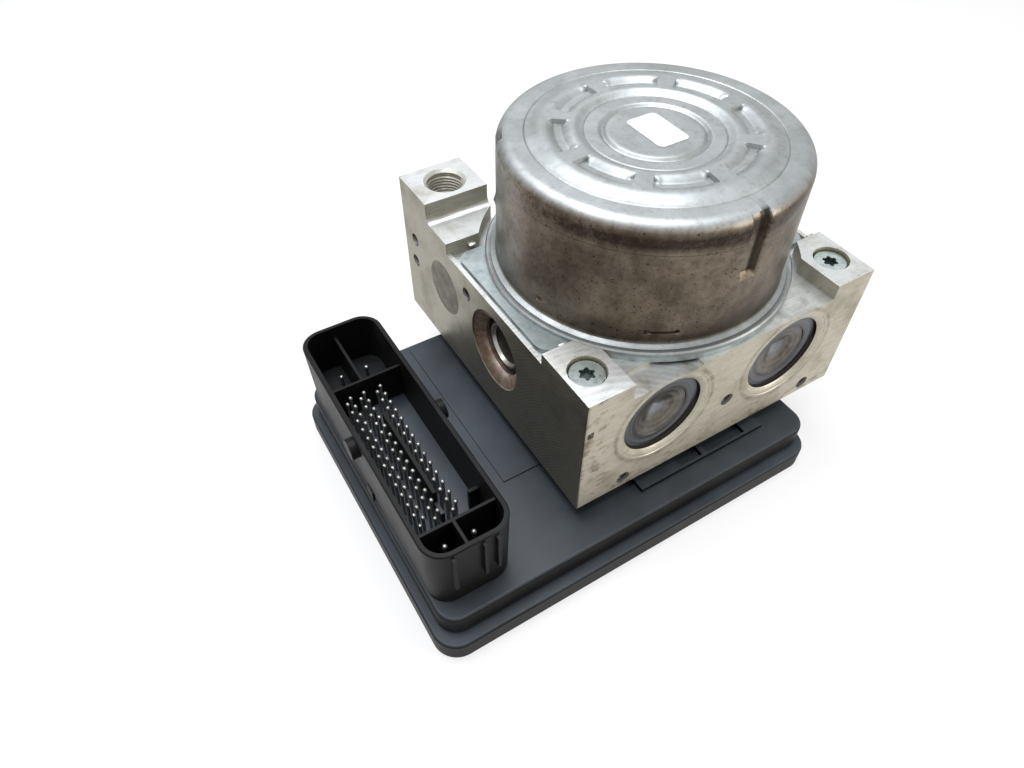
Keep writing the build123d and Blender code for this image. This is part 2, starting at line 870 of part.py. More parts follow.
# Brush plate with a guide box for each brush
brush_z = flange_z + brush_plate_t
brush_in_r = commutator_r + brush_gap
box_in_r = commutator_r + 3.0
with BuildPart() as brush_plate:
    with BuildSketch(Plane.XY.offset(flange_z)):
        Circle(can_in_r - rest_gap)
        Circle(commutator_r + 1.0, mode=Mode.SUBTRACT)
        with Locations((0, terminal_y)):
            Rectangle(
                terminal_pitch + terminal_w + 2 * seat_gap,
                terminal_t + 2 * seat_gap,
                mode=Mode.SUBTRACT,
            )
    extrude(amount=brush_plate_t)
    for side, _ in sides:
        with BuildSketch(Plane.XY.offset(brush_z)):
            with Locations((side * (box_in_r + brush_box_end) / 2, 0)):
                Rectangle(brush_box_end - box_in_r, brush_w + 2 * brush_wall)
            with Locations((side * (box_in_r + brush_box_end - brush_wall) / 2, 0)):
                Rectangle(
                    brush_box_end - brush_wall - box_in_r,
                    brush_w + 2 * running_gap,
                    mode=Mode.SUBTRACT,
                )
        extrude(amount=brush_h)
brush_plate.part.label = "brush_plate"
export_step(brush_plate.part, "parts/brush_plate.step")

with BuildPart() as brushes:
    for side, _ in sides:
        with BuildSketch(Plane.XY.offset(brush_z)):
            with Locations((side * (brush_in_r + brush_l / 2), 0)):
                Rectangle(brush_l, brush_w)
        extrude(amount=brush_h)
brushes.part.label = "motor_brushes"
export_step(brushes.part, "parts/motor_brushes.step")

# Bent leaf springs that press the brushes onto the commutator
leaf_x0 = brush_in_r + brush_l + seat_gap
leaf_x1 = brush_box_end - brush_wall - seat_gap
leaf_t = 0.35
leaf_y = brush_w / 2 - 0.3
with BuildPart() as leaf_springs:
    for side, _ in sides:
        with BuildSketch(Plane.XY.offset(brush_z + 0.5)):
            with BuildLine():
                Polyline(
                    (side * leaf_x0, -leaf_y),
                    (side * leaf_x0, leaf_y),
                    (side * (leaf_x0 + leaf_t), leaf_y),
                    (side * (leaf_x0 + leaf_t), -leaf_y + 1.5),
                    (side * (leaf_x1 - leaf_t), leaf_y),
                    (side * leaf_x1, leaf_y),
                    (side * leaf_x1, -leaf_y),
                    (side * (leaf_x1 - leaf_t), -leaf_y),
                    (side * (leaf_x1 - leaf_t), leaf_y - 1.5),
                    (side * (leaf_x0 + leaf_t), -leaf_y),
                    close=True,
                )
            make_face()
        extrude(amount=brush_h - 1.0)
leaf_springs.part.label = "brush_springs"
export_step(leaf_springs.part, "parts/brush_springs.step")

# Terminal stalk through the block, and the two pins that it guides to the board
stalk_z = block_z
with BuildPart() as stalk:
    with BuildSketch(Plane.XY.offset(stalk_z)):
        with Locations((0, terminal_y)):
            Circle(terminal_r)
            with Locations((-terminal_pitch / 2, 0), (terminal_pitch / 2, 0)):
                Rectangle(terminal_w + 2 * seat_gap, terminal_t + 2 * seat_gap, mode=Mode.SUBTRACT)
    extrude(amount=flange_z - stalk_z)
stalk.part.label = "terminal_stalk"
export_step(stalk.part, "parts/terminal_stalk.step")

with BuildPart() as terminals:
    with BuildSketch(Plane.XY.offset(board_top_z)):
        with Locations((-terminal_pitch / 2, terminal_y), (terminal_pitch / 2, terminal_y)):
            Rectangle(terminal_w, terminal_t)
    extrude(amount=brush_z - board_top_z)
terminals.part.label = "motor_terminals"
export_step(terminals.part, "parts/motor_terminals.step")

# Pump elements, one on each side of the eccentric
sleeve_in_x = cavity_r + 1.5
sleeve_out_x = pump_plug_x - pump_plug_t
chamber_x = sleeve_in_x + piston_guide - 2.0
head_x = chamber_x + rest_gap
for side, name in sides:
    with BuildPart() as sleeve:
        with BuildSketch(pump_plane):
            add(
                half_profile(
                    (
                        (side * sleeve_in_x, piston_r + running_gap),
                        (side * sleeve_in_x, pump_bore_r),
                        (side * sleeve_out_x, pump_bore_r),
                        (side * sleeve_out_x, spring_chamber_r),
                        (side * chamber_x, spring_chamber_r),
                        (side * chamber_x, piston_r + running_gap),
                    )
                )
            )
        revolve(axis=pump_axis)
    sleeve.part.label = f"pump_sleeve_{name}"
    export_step(sleeve.part, f"parts/pump_sleeve_{name}.step")

    with BuildPart() as piston:
        with BuildSketch(pump_plane):
            add(
                half_profile(
                    (
                        (side * piston_in_x, 0),
                        (side * piston_in_x, piston_r),
                        (side * head_x, piston_r),
                        (side * head_x, piston_head_r),
                        (side * (head_x + piston_head_t), piston_head_r),
                        (side * (head_x + piston_head_t), 0),
                    )
                )
            )
        revolve(axis=pump_axis)
    piston.part.label = f"pump_piston_{name}"
    export_step(piston.part, f"parts/pump_piston_{name}.step")

    spring_x0 = head_x + piston_head_t + seat_gap + pump_spring_wire / 2
    spring_x1 = sleeve_out_x - seat_gap - pump_spring_wire / 2
    with BuildPart() as pump_spring:
        with BuildLine():
            coil_path = Helix(
                (spring_x1 - spring_x0) / pump_spring_turns,
                spring_x1 - spring_x0,
                pump_spring_r,
                center=(side * spring_x0, 0, pump_z),
                direction=(side, 0, 0),
            )
        with BuildSketch(Plane(origin=coil_path @ 0, z_dir=coil_path % 0)):
            Rectangle(pump_spring_wire, pump_spring_wire)
        sweep(path=coil_path, is_frenet=True)
    pump_spring.part.label = f"pump_spring_{name}"
    export_step(pump_spring.part, f"parts/pump_spring_{name}.step")

    plug_x1 = pump_plug_x
    plug_x0 = pump_plug_x - pump_plug_t
    with BuildPart() as pump_plug:
        with BuildSketch(pump_plane):
            add(
                half_profile(
                    (
                        (side * plug_x0, 0),
                        (side * plug_x0, pump_bore_r),
                        (side * (plug_x1 - 0.5), pump_bore_r),
                        (side * plug_x1, pump_bore_r - 0.5),
                        (side * plug_x1, plug_ring_r + plug_ring_w),
                        (side * (plug_x1 + plug_ring_h), plug_ring_r + plug_ring_w),
                        (side * (plug_x1 + plug_ring_h), plug_ring_r),
                        (side * (plug_x1 - plug_ring_h), plug_ring_r - plug_ring_h),
                        (side * (plug_x1 - plug_ring_h), 0),
                    )
                )
            )
        revolve(axis=pump_axis)
    pump_plug.part.label = f"pump_plug_{name}"
    export_step(pump_plug.part, f"parts/pump_plug_{name}.step")

# Low-pressure accumulators behind the two front caps
acc_end_y = -block_front + acc_depth
cap_y0 = -block_front + acc_mouth_d
cap_y1 = -block_front + acc_step_d
acc_piston_r = acc_r - acc_fit
acc_piston_y1 = acc_end_y - rest_gap
acc_piston_y0 = acc_piston_y1 - acc_piston_l
cup_y = acc_piston_y0 + acc_cup_d
seal_y = (cup_y + acc_piston_y1) / 2
for side, name in sides:
    acc_axis = Axis((side * acc_x, 0, acc_z), (0, 1, 0))
    acc_plane = Plane(origin=(side * acc_x, 0, acc_z), x_dir=(0, 1, 0), z_dir=(1, 0, 0))
    with BuildPart() as cap:
        with BuildSketch(acc_plane):
            add(
                half_profile(
                    (
                        (cap_y0, acc_step_r),
                        (cap_y0, acc_step_r - cap_rim_w),
                        (cap_y0 + 0.6, acc_step_r - cap_rim_w - 0.3),
                        (cap_y0 + 0.8, cap_centre_r + 3.6),
                        (cap_y0 + 1.1, cap_centre_r + 3.4),
                        (cap_y0 + cap_dish_d, cap_centre_r),
                        (cap_y0 + cap_dish_d + cap_centre_d, 0),
                        (cap_y1 + cap_dish_d + cap_centre_d, 0),
                        (cap_y1 + cap_dish_d, cap_centre_r + 1.0),
                        (cap_y1, cap_centre_r + 3.7),
                        (cap_y1, acc_step_r),
                    )
                )
            )
        revolve(axis=acc_axis)
    cap.part.label = f"accumulator_cap_{name}"
    export_step(cap.part, f"parts/accumulator_cap_{name}.step")

    with BuildPart() as acc_piston:
        with BuildSketch(acc_plane):
            add(
                half_profile(
                    (
                        (acc_piston_y1, 0),
                        (acc_piston_y1, acc_piston_r),
                        (seal_y + acc_seal_w / 2, acc_piston_r),
                        (seal_y + acc_seal_w / 2, acc_piston_r - acc_seal_t),
                        (seal_y - acc_seal_w / 2, acc_piston_r - acc_seal_t),
                        (seal_y - acc_seal_w / 2, acc_piston_r),
                        (acc_piston_y0, acc_piston_r),
                        (acc_piston_y0, acc_cup_r),
                        (cup_y, acc_cup_r),
                        (cup_y, 0),
                    )
                )
            )
        revolve(axis=acc_axis)
    acc_piston.part.label = f"accumulator_piston_{name}"
    export_step(acc_piston.part, f"parts/accumulator_piston_{name}.step")

    with BuildPart() as acc_seal:
        with BuildSketch(acc_plane):
            with Locations((seal_y, acc_piston_r - acc_seal_t / 2)):
                Rectangle(acc_seal_w - 2 * seat_gap, acc_seal_t - 2 * seat_gap)
        revolve(axis=acc_axis)
    acc_seal.part.label = f"accumulator_seal_{name}"
    export_step(acc_seal.part, f"parts/accumulator_seal_{name}.step")

    acc_spring_y0 = cap_y1 + seat_gap + acc_spring_wire / 2
    acc_spring_y1 = cup_y - seat_gap - acc_spring_wire / 2
    with BuildPart() as acc_spring:
        with BuildLine():
            coil_path = Helix(
                (acc_spring_y1 - acc_spring_y0) / acc_spring_turns,
                acc_spring_y1 - acc_spring_y0,
                acc_spring_r,
                center=(side * acc_x, acc_spring_y0, acc_z),
                direction=(0, 1, 0),
            )
        with BuildSketch(Plane(origin=coil_path @ 0, z_dir=coil_path % 0)):
            Rectangle(acc_spring_wire, acc_spring_wire)
        sweep(path=coil_path, is_frenet=True)
    acc_spring.part.label = f"accumulator_spring_{name}"
    export_step(acc_spring.part, f"parts/accumulator_spring_{name}.step")

# Solenoid valve cartridges, staked into the underside of the block
valve_groups = (
    ("inlet_valves", valve_spots[0:12:3], 0.0),
    ("outlet_valves", valve_spots[2:12:3], 1.0),
    ("isolation_valves", (valve_spots[1], valve_spots[10]), 0.5),
    ("priming_valves", (valve_spots[4], valve_spots[7]), 1.5),
)
dome_z = block_z - valve_collar_h
for name, spots, shortening in valve_groups:
    with BuildPart() as valves:
        with BuildSketch(Plane.XY.offset(dome_z)):
            with Locations(*spots):
                Circle(valve_r)
        extrude(amount=valve_collar_h + valve_depth - rest_gap - shortening)
        with BuildSketch(Plane.XY.offset(dome_z)):
            with Locations(*spots):
                Circle(dome_r)
        extrude(amount=-(dome_l - 1.5))
    valves.part.label = name
    export_step(valves.part, f"parts/{name}.step")

with BuildPart() as coils:
    with BuildSketch(Plane.XY.offset(coil_z)):
        with Locations(*valve_spots):
            Circle(coil_r)
            Circle(coil_in_r, mode=Mode.SUBTRACT)
    extrude(amount=coil_top_z - yoke_plate - coil_z)
coils.part.label = "solenoid_coils"
export_step(coils.part, "parts/solenoid_coils.step")

# Steel yokes: a forked plate over each coil, bent down on both sides of it
with BuildPart() as yokes:
    with BuildSketch(Plane.XY.offset(coil_top_z - yoke_plate)):
        with Locations(*valve_spots):
            Rectangle(2 * yoke_side, yoke_w)
            Circle(coil_in_r, mode=Mode.SUBTRACT)
    extrude(amount=yoke_plate)
    with BuildSketch(Plane.XY.offset(coil_z)):
        for side, _ in sides:
            with Locations(*valve_spots):
                with Locations((side * (yoke_side - yoke_wall / 2), 0)):
                    Rectangle(yoke_wall, yoke_w)
    extrude(amount=coil_top_z - yoke_plate - coil_z)
yokes.part.label = "coil_yokes"
export_step(yokes.part, "parts/coil_yokes.step")

with BuildPart() as sensor:
    with BuildSketch(Plane.XY.offset(block_z)):
        with Locations(sensor_spot):
            Circle(sensor_r)
    extrude(amount=sensor_depth - rest_gap)
    with BuildSketch(Plane.XY.offset(block_z)):
        with Locations(sensor_spot):
            Circle(sensor_r)
    extrude(amount=-sensor_l)
sensor.part.label = "pressure_sensor"
export_step(sensor.part, "parts/pressure_sensor.step")

# Circuit board with its large components
with BuildPart() as board:
    with BuildSketch(Plane.XY.offset(board_z)):
        with Locations((tier_cx, tier_cy)):
            RectangleRounded(hollow_w - 2 * board_gap, hollow_l - 2 * board_gap, hollow_r)
    extrude(amount=board_t)
board.part.label = "circuit_board"
export_step(board.part, "parts/circuit_board.step")

chip_x = unit_x0 + chip_from_side
with BuildPart() as chips:
    with BuildSketch(Plane.XY.offset(board_top_z)):
        with Locations((chip_x, unit_cy + chip_low_y), (chip_x, unit_cy + chip_high_y)):
            Rectangle(chip_w, chip_w)
    extrude(amount=chip_t)
    with BuildSketch(Plane.XY.offset(board_top_z)):
        with Locations((chip_x, unit_cy + capacitor_y), (chip_x + capacitor_pitch, unit_cy + capacitor_y)):
            Circle(capacitor_r)
    extrude(amount=capacitor_h)
chips.part.label = "board_components"
export_step(chips.part, "parts/board_components.step")

# Lid: the lower tier of the control unit, a shallow tray with posts under the board
with BuildPart() as lid:
    with BuildSketch():
        with Locations((unit_cx, unit_cy)):
            RectangleRounded(unit_w, unit_l, unit_corner_r)
    extrude(amount=lid_h)
    chamfer(faces().sort_by(Axis.Z)[0].edges(), lid_foot_chamfer)
    fillet(faces().sort_by(Axis.Z)[-1].edges(), lid_edge_r)
    with BuildSketch(Plane.XY.offset(lid_floor)):
        with Locations((tier_cx, tier_cy)):
            RectangleRounded(hollow_w, hollow_l, hollow_r)
    extrude(amount=lid_h - lid_floor, mode=Mode.SUBTRACT)
    with BuildSketch(Plane.XY.offset(lid_floor)):
        with Locations((tier_cx, tier_cy)):
            with GridLocations(hollow_w - 8 * board_post_r, hollow_l - 8 * board_post_r, 2, 2):
                Circle(board_post_r)
    extrude(amount=board_z - lid_floor)
lid.part.label = "unit_lid"
export_step(lid.part, "parts/unit_lid.step")

# Housing: upper tier, pedestal and connector shroud, moulded in one piece
with BuildPart() as housing:
    with BuildSketch(Plane.XY.offset(lid_h + groove_h)):
        with Locations((tier_cx, tier_cy)):
            RectangleRounded(tier_w, tier_l, tier_corner_r)
    extrude(amount=housing_h - groove_h)
    fillet(faces().sort_by(Axis.Z)[-1].edges(), housing_edge_r)
    fillet(faces().sort_by(Axis.Z)[0].edges(), housing_edge_r / 2)
    # Foot of the tier, set back so that a groove runs round it above the lid
    with BuildSketch(Plane.XY.offset(lid_h)):
        with Locations((tier_cx, tier_cy)):
            RectangleRounded(
                tier_w - 2 * groove_d, tier_l - 2 * groove_d, tier_corner_r - groove_d
            )
    extrude(amount=groove_h)
    # Pedestal frame that carries the seal under the block, and the low plinth before it
    with BuildSketch(Plane.XY.offset(tray_z)):
        with Locations((pedestal_cx, pedestal_cy)):
            RectangleRounded(pedestal_w, pedestal_l, pedestal_r)
    extrude(amount=pedestal_z - tray_z)
    plinth_cy = pedestal_y0 - plinth_out / 2
    with BuildSketch(Plane.XY.offset(tray_z)):
        with Locations(((plinth_x0 + plinth_x1) / 2, plinth_cy + 0.5)):
            Rectangle(plinth_x1 - plinth_x0, plinth_out + 1.0)
        for pocket_x, pocket_w in plinth_pockets:
            with Locations((pocket_x, plinth_cy)):
                Rectangle(pocket_w, plinth_out - 2 * plinth_ridge, mode=Mode.SUBTRACT)
    extrude(amount=plinth_h)
    # Raised panel on the tray beside the shroud
    panel_x1 = pedestal_x0 + pedestal_wall / 2
    panel_y1 = tier_y1 - 2 * housing_edge_r
    with BuildSketch(Plane.XY.offset(tray_z)):
        with Locations(((panel_x0 + panel_x1) / 2, (panel_y0 + panel_y1) / 2)):
            Rectangle(panel_x1 - panel_x0, panel_y1 - panel_y0)
    extrude(amount=panel_h)
    # Outside of the connector shroud, drawn at its rim and drafted down to its foot
    with BuildSketch(Plane.XY.offset(rim_z)):
        with Locations((shroud_cx, shroud_cy)):
            RectangleRounded(shroud_w, shroud_l, shroud_r)
    extrude(amount=-shroud_h, taper=shroud_draft)
    chamfer(edges().group_by(Axis.Z)[-1], shroud_rim_chamfer)
    # End ribs, pivots of the plug's lever and a foot lug
    with BuildSketch(Plane.XY.offset(rim_z - end_rib_drop - end_rib_h)):
        for rib_spot in end_rib_spots:
            with Locations((shroud_x0 + rib_spot, shroud_y0 - end_rib_out + shroud_r / 2)):
                Rectangle(end_rib_t, shroud_r)
    extrude(amount=end_rib_h)
    with BuildSketch(Plane.YZ.offset(shroud_x0 - pivot_out)):
        with Locations((pivot_y, rim_z - pivot_drop)):
            Circle(pivot_r)
    extrude(amount=shroud_w + 2 * pivot_out)
    with BuildSketch(Plane.XY.offset(tray_z)):
        with Locations((shroud_x0 + foot_lug_w / 2, foot_lug_y)):
            Rectangle(foot_lug_w, foot_lug_w)
    extrude(amount=foot_lug_h)
    # Hollow below: the space for the board and the coils
    with BuildSketch(Plane.XY.offset(lid_h)):
        with Locations((tier_cx, tier_cy)):
            RectangleRounded(hollow_w, hollow_l, hollow_r)
    extrude(amount=housing_h - housing_plate, mode=Mode.SUBTRACT)
    with BuildSketch(Plane.XY.offset(tray_z - housing_plate)):
        with Locations((pedestal_cx, pedestal_cy)):
            RectangleRounded(
                pedestal_w - 2 * pedestal_wall, pedestal_l - 2 * pedestal_wall, pedestal_r
            )
    extrude(amount=pedestal_z - tray_z + housing_plate, mode=Mode.SUBTRACT)
    with BuildSketch(Plane.XY.offset(tray_z - housing_plate)):
        with Locations((shroud_cx, shroud_cy)):
            RectangleRounded(
                shroud_w - 2 * shroud_foot_inset,
                shroud_l - 2 * shroud_foot_inset,
                shroud_r - shroud_foot_inset,
            )
    extrude(amount=housing_plate + shroud_floor - shroud_plate, mode=Mode.SUBTRACT)
    # Hollow above the shroud's floor
    inner_w = shroud_w - 2 * shroud_wall
    with BuildSketch(Plane.XY.offset(rim_z)):
        with Locations((shroud_cx, shroud_cy)):
            RectangleRounded(inner_w, shroud_l - 2 * shroud_wall, shroud_r - shroud_wall)
    extrude(amount=floor_z - rim_z, taper=shroud_draft, mode=Mode.SUBTRACT)
    # Webs and dividers at the two ends of the shroud
    stems = (
        (rear_web_y, shroud_y1 - shroud_wall / 2, rear_web_drop),
        (front_web_y, shroud_y0 + shroud_wall / 2, front_web_drop),
    )
    for web_y, wall_y, drop in stems:
        with BuildSketch(Plane.XY.offset(floor_z)):
            with Locations((shroud_cx, web_y)):
                Rectangle(inner_w + shroud_wall / 2, web_t)
            with Locations((stem_x, (web_y + wall_y) / 2)):
                Rectangle(web_t, abs(wall_y - web_y))
        extrude(amount=rim_z - drop - floor_z)
    # Key rib between the bands of pins, lower at its front end, and the key ledge
    with BuildSketch(Plane.XY.offset(floor_z)):
        with Locations((key_rib_x, (key_rib_y0 + key_rib_y1) / 2)):
            Rectangle(key_rib_t, key_rib_y1 - key_rib_y0)
    extrude(amount=key_rib_h)
    with BuildSketch(Plane.XY.offset(floor_z)):
        with Locations((key_rib_x, key_rib_y0 - key_rib_step_l / 2)):
            Rectangle(key_rib_t, key_rib_step_l)
    extrude(amount=key_rib_step_h)
    with BuildSketch(Plane.XY.offset(floor_z)):
        with Locations((shroud_x1 - shroud_wall - key_stub_w / 2, key_stub_y)):
            Rectangle(key_stub_w + shroud_wall / 2, key_rib_t)
    extrude(amount=key_stub_h)
    # Holes of the pins in the shroud's floor
    with BuildSketch(Plane.XY.offset(floor_z)):
        with Locations(*pin_spots):
            Rectangle(pin_w + 2 * seat_gap, pin_w + 2 * seat_gap)
        with Locations(*rear_pin_spots, *front_pin_spots):
            Circle(power_pin_r + seat_gap)
    extrude(amount=-shroud_plate, mode=Mode.SUBTRACT)
    # Screw bosses in the pedestal's corners
    with BuildSketch(Plane.XY.offset(tray_z - housing_plate)):
        with Locations(*boss_spots):
            Circle(boss_r)
    extrude(amount=pedestal_z - tray_z + housing_plate)
    with BuildSketch(Plane.XY.offset(tray_z - housing_plate)):
        with Locations(*boss_spots):
            Circle(housing_screw_r + seat_gap)
    extrude(amount=pedestal_z - tray_z + housing_plate, mode=Mode.SUBTRACT)
housing.part.label = "unit_housing"
export_step(housing.part, "parts/unit_housing.step")

with BuildPart() as seal:
    with BuildSketch(Plane.XY.offset(pedestal_z)):
        with Locations((pedestal_cx, pedestal_cy)):
            RectangleRounded(pedestal_w - 2 * seal_inset, pedestal_l - 2 * seal_inset, pedestal_r)
            RectangleRounded(
                pedestal_w - 2 * pedestal_wall,
                pedestal_l - 2 * pedestal_wall,
                pedestal_r,
                mode=Mode.SUBTRACT,
            )
        with Locations(*boss_spots):
            Circle(housing_screw_r + 1.0, mode=Mode.SUBTRACT)
    extrude(amount=seal_h)
seal.part.label = "housing_seal"
export_step(seal.part, "parts/housing_seal.step")

head_z = tray_z - housing_plate
with BuildPart() as housing_screws:
    with BuildSketch(Plane.XY.offset(head_z)):
        with Locations(*boss_spots):
            Circle(housing_head_r)
    extrude(amount=-housing_head_h)
    with BuildSketch(Plane.XY.offset(head_z)):
        with Locations(*boss_spots):
            Circle(housing_screw_r)
    extrude(amount=block_z + housing_screw_grip - head_z)
housing_screws.part.label = "housing_screws"
export_step(housing_screws.part, "parts/housing_screws.step")

# Signal pins, square and pointed
with BuildPart() as pins:
    with BuildSketch(Plane.XY.offset(board_top_z)):
        with Locations(*pin_spots):
            Rectangle(pin_w, pin_w)
    extrude(amount=tray_z + pin_top - pin_taper - board_top_z)
    with BuildSketch(Plane.XY.offset(tray_z + pin_top - pin_taper)):
        with Locations(*pin_spots):
            Rectangle(pin_w, pin_w)
    extrude(amount=pin_taper, taper=14)
pins.part.label = "signal_pins"
export_step(pins.part, "parts/signal_pins.step")

# Power pins, round with a tapered tip, shorter in the rear chamber
with BuildPart() as power:
    for spots, height in power_pins:
        with BuildSketch(Plane.XY.offset(board_top_z)):
            with Locations(*spots):
                Circle(power_pin_r)
        extrude(amount=tray_z + height - power_pin_taper - board_top_z)
        with BuildSketch(Plane.XY.offset(tray_z + height - power_pin_taper)):
            with Locations(*spots):
                Circle(power_pin_r)
        extrude(amount=power_pin_taper, taper=30)
power.part.label = "power_pins"
export_step(power.part, "parts/power_pins.step")

# Torx screws in the front pads
screw_head_z = pad_z - screw_sink
with BuildPart() as screws:
    for side, _ in sides:
        with BuildSketch(Plane.XY.offset(screw_head_z)):
            with Locations((side * screw_x, -screw_y)):
                Circle(screw_head_r)
        extrude(amount=-screw_head_h)
        with BuildSketch(Plane.XY.offset(screw_head_z - screw_head_h)):
            with Locations((side * screw_x, -screw_y)):
                Circle(screw_r)
        extrude(amount=-screw_l)
        with BuildSketch(Plane.XY.offset(screw_head_z)):
            with Locations((side * screw_x, -screw_y)):
                Circle(torx_r - torx_lobe_r)
                with PolarLocations(torx_r - torx_lobe_r, 6):
                    Circle(torx_lobe_r)
        extrude(amount=-torx_d, mode=Mode.SUBTRACT)
screws.part.label = "pad_screws"
export_step(screws.part, "parts/pad_screws.step")

# Plugs of the drillings, each with a conical punch mark
with BuildPart() as plugs:
    for side, _ in sides:
        face = left_face if side < 0 else right_face
        with BuildSketch(face.offset(-plug_sink)):
            for plug_y, plug_z in side_plugs:
                with Locations((side * plug_y, plug_z)):
                    Circle(plug_r)
        extrude(amount=-plug_t)
        with BuildSketch(face.offset(-plug_sink)):
            for plug_y, plug_z in side_plugs:
                with Locations((side * plug_y, plug_z)):
                    Circle(plug_r - 0.5)
        extrude(amount=-1.0, taper=45, mode=Mode.SUBTRACT)
    with BuildSketch(front_face.offset(-plug_sink)):
        with Locations(*front_plugs):
            Circle(plug_r)
    extrude(amount=-plug_t)
    with BuildSketch(front_face.offset(-plug_sink)):
        with Locations(*front_plugs):
            Circle(plug_r - 0.5)
    extrude(amount=-1.0, taper=45, mode=Mode.SUBTRACT)
plugs.part.label = "drilling_plugs"
export_step(plugs.part, "parts/drilling_plugs.step")

with BuildPart() as damper_discs:
    for side, _ in sides:
        face = left_face if side < 0 else right_face
        with BuildSketch(face):
            with Locations((side * damper_y, top_z - damper_drop)):
                Circle(damper_r)
        extrude(amount=-damper_t)
damper_discs.part.label = "damper_plugs"
export_step(damper_discs.part, "parts/damper_plugs.step")

print("overall height", can_top_z + crown_h, "width", side_x - unit_x0, "depth", ear_y - unit_y0)
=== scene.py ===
# %% [markdown]
# # An anti-lock brake unit
# The unit is three things in one: a milled aluminium valve block, a drawn steel motor can on top
# of it and a black moulded control unit under it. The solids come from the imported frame, which
# also says what moves with what. This lesson dresses them: some keep their shape and get a
# finish, and some are made again with finer forms.

# %% Load the frame
import json
import math

import bmesh
import bpy
from mathutils import Matrix, Vector


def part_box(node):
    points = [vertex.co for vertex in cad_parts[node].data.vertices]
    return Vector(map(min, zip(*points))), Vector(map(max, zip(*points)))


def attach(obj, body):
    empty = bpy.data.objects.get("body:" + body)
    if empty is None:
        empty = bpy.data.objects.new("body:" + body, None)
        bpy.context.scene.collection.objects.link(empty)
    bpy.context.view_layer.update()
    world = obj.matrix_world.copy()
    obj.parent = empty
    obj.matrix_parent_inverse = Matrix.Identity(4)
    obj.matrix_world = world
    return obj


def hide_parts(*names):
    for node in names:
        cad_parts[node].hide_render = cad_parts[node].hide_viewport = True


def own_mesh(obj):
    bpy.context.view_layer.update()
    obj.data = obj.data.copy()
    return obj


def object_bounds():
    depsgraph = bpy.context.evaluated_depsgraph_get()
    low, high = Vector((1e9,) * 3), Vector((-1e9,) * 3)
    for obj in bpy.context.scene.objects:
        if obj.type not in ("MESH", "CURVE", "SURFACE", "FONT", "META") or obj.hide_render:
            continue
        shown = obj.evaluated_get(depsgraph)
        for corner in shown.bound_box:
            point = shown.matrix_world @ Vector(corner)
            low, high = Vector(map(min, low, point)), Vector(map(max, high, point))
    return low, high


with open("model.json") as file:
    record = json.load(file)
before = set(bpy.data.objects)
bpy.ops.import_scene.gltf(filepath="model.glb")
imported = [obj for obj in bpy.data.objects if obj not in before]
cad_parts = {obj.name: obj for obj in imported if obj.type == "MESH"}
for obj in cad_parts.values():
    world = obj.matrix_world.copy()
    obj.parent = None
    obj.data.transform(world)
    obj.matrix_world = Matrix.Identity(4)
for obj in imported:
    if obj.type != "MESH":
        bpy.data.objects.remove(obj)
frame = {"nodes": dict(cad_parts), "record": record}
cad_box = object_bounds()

mm = 0.001
merge_distance = 0.01 * mm
unit = "unit"


# %% [markdown]
# The solids give every place that the new pieces need. A node's box is read once, and heights
# such as the block's top or the can's top come from it, so the pieces follow the solids if a size
# changes.

# %% Read places from the solids
block_low, block_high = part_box("hydraulic_block")
can_low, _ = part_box("motor_can")
label_low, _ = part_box("motor_label")
flange_low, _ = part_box("motor_flange")
plug_low, plug_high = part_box("pump_plug_left")
cap_low, cap_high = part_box("accumulator_cap_right")
_, screw_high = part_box("pad_screws")
can_radius = 40 * mm
can_foot_z = can_low.z
can_top_z = label_low.z
draw_line_z = can_top_z - 7.7 * mm
# The side of the can that faces the camera: there the wall gets a painted warm reflection and the
# tide stain.
stain_and_reflection_angle = math.radians(-121.5)
front_bead_degrees = -91
front_y = block_low.y
left_x = block_low.x
right_x = block_high.x
block_top_z = flange_low.z
pump_y = (plug_low.y + plug_high.y) / 2
pump_z = (plug_low.z + plug_high.z) / 2
cap_x = (cap_low.x + cap_high.x) / 2
cap_z = (cap_low.z + cap_high.z) / 2
print("can from", round(can_foot_z / mm, 1), "to", round(can_top_z / mm, 1), "mm")


# %% [markdown]
# ## The photographer's place
# The camera stands to the front left, well above the unit, and close to it, which gives the
# strong perspective of a phone held at arm's length. Its direction is built from an azimuth and
# an elevation, and a small roll turns it about its own line of sight.

# %% Set the camera
azimuth = math.radians(-31.48)
elevation = math.radians(48.33)
roll = math.radians(0.33)
distance = 178.25 * mm
target = Vector((-56.6, -24.87, 56.5)) * mm

back = Vector(
    (
        math.sin(azimuth) * math.cos(elevation),
        -math.cos(azimuth) * math.cos(elevation),
        math.sin(elevation),
    )
)
right = Vector((0, 0, 1)).cross(back).normalized()
up = back.cross(right)
right_rolled = right * math.cos(roll) + up * math.sin(roll)
up_rolled = up * math.cos(roll) - right * math.sin(roll)

camera_data = bpy.data.cameras.new("camera")
camera_data.sensor_width = 36
camera_data.lens = 25.88
camera_data.clip_start = 0.01
camera = bpy.data.objects.new("camera", camera_data)
turn = Matrix((right_rolled, up_rolled, back)).transposed().to_4x4()
camera.matrix_world = Matrix.Translation(target + back * distance) @ turn
bpy.context.scene.collection.objects.link(camera)
bpy.context.scene.camera = camera


# %% [markdown]
# ## Colours and nodes
# Colours are written as the hex values that an eye reads on a screen, and one function turns them
# into the linear values that the shaders count with. A second function adds any node with its
# settings, its socket values and its links.

# %% Colour and node helpers
def linear(hex_colour):
    channels = []
    for start in (0, 2, 4):
        value = int(hex_colour[start : start + 2], 16) / 255
        channels.append(value / 12.92 if value <= 0.04045 else ((value + 0.055) / 1.055) ** 2.4)
    return (*channels, 1.0)


def add_node(tree, kind, inputs=None, **settings):
    made = tree.nodes.new("ShaderNode" + kind)
    for name, value in settings.items():
        setattr(made, name, value)
    for socket, value in (inputs or {}).items():
        if isinstance(value, bpy.types.NodeSocket):
            tree.links.new(value, made.inputs[socket])
        else:
            made.inputs[socket].default_value = value
    return made


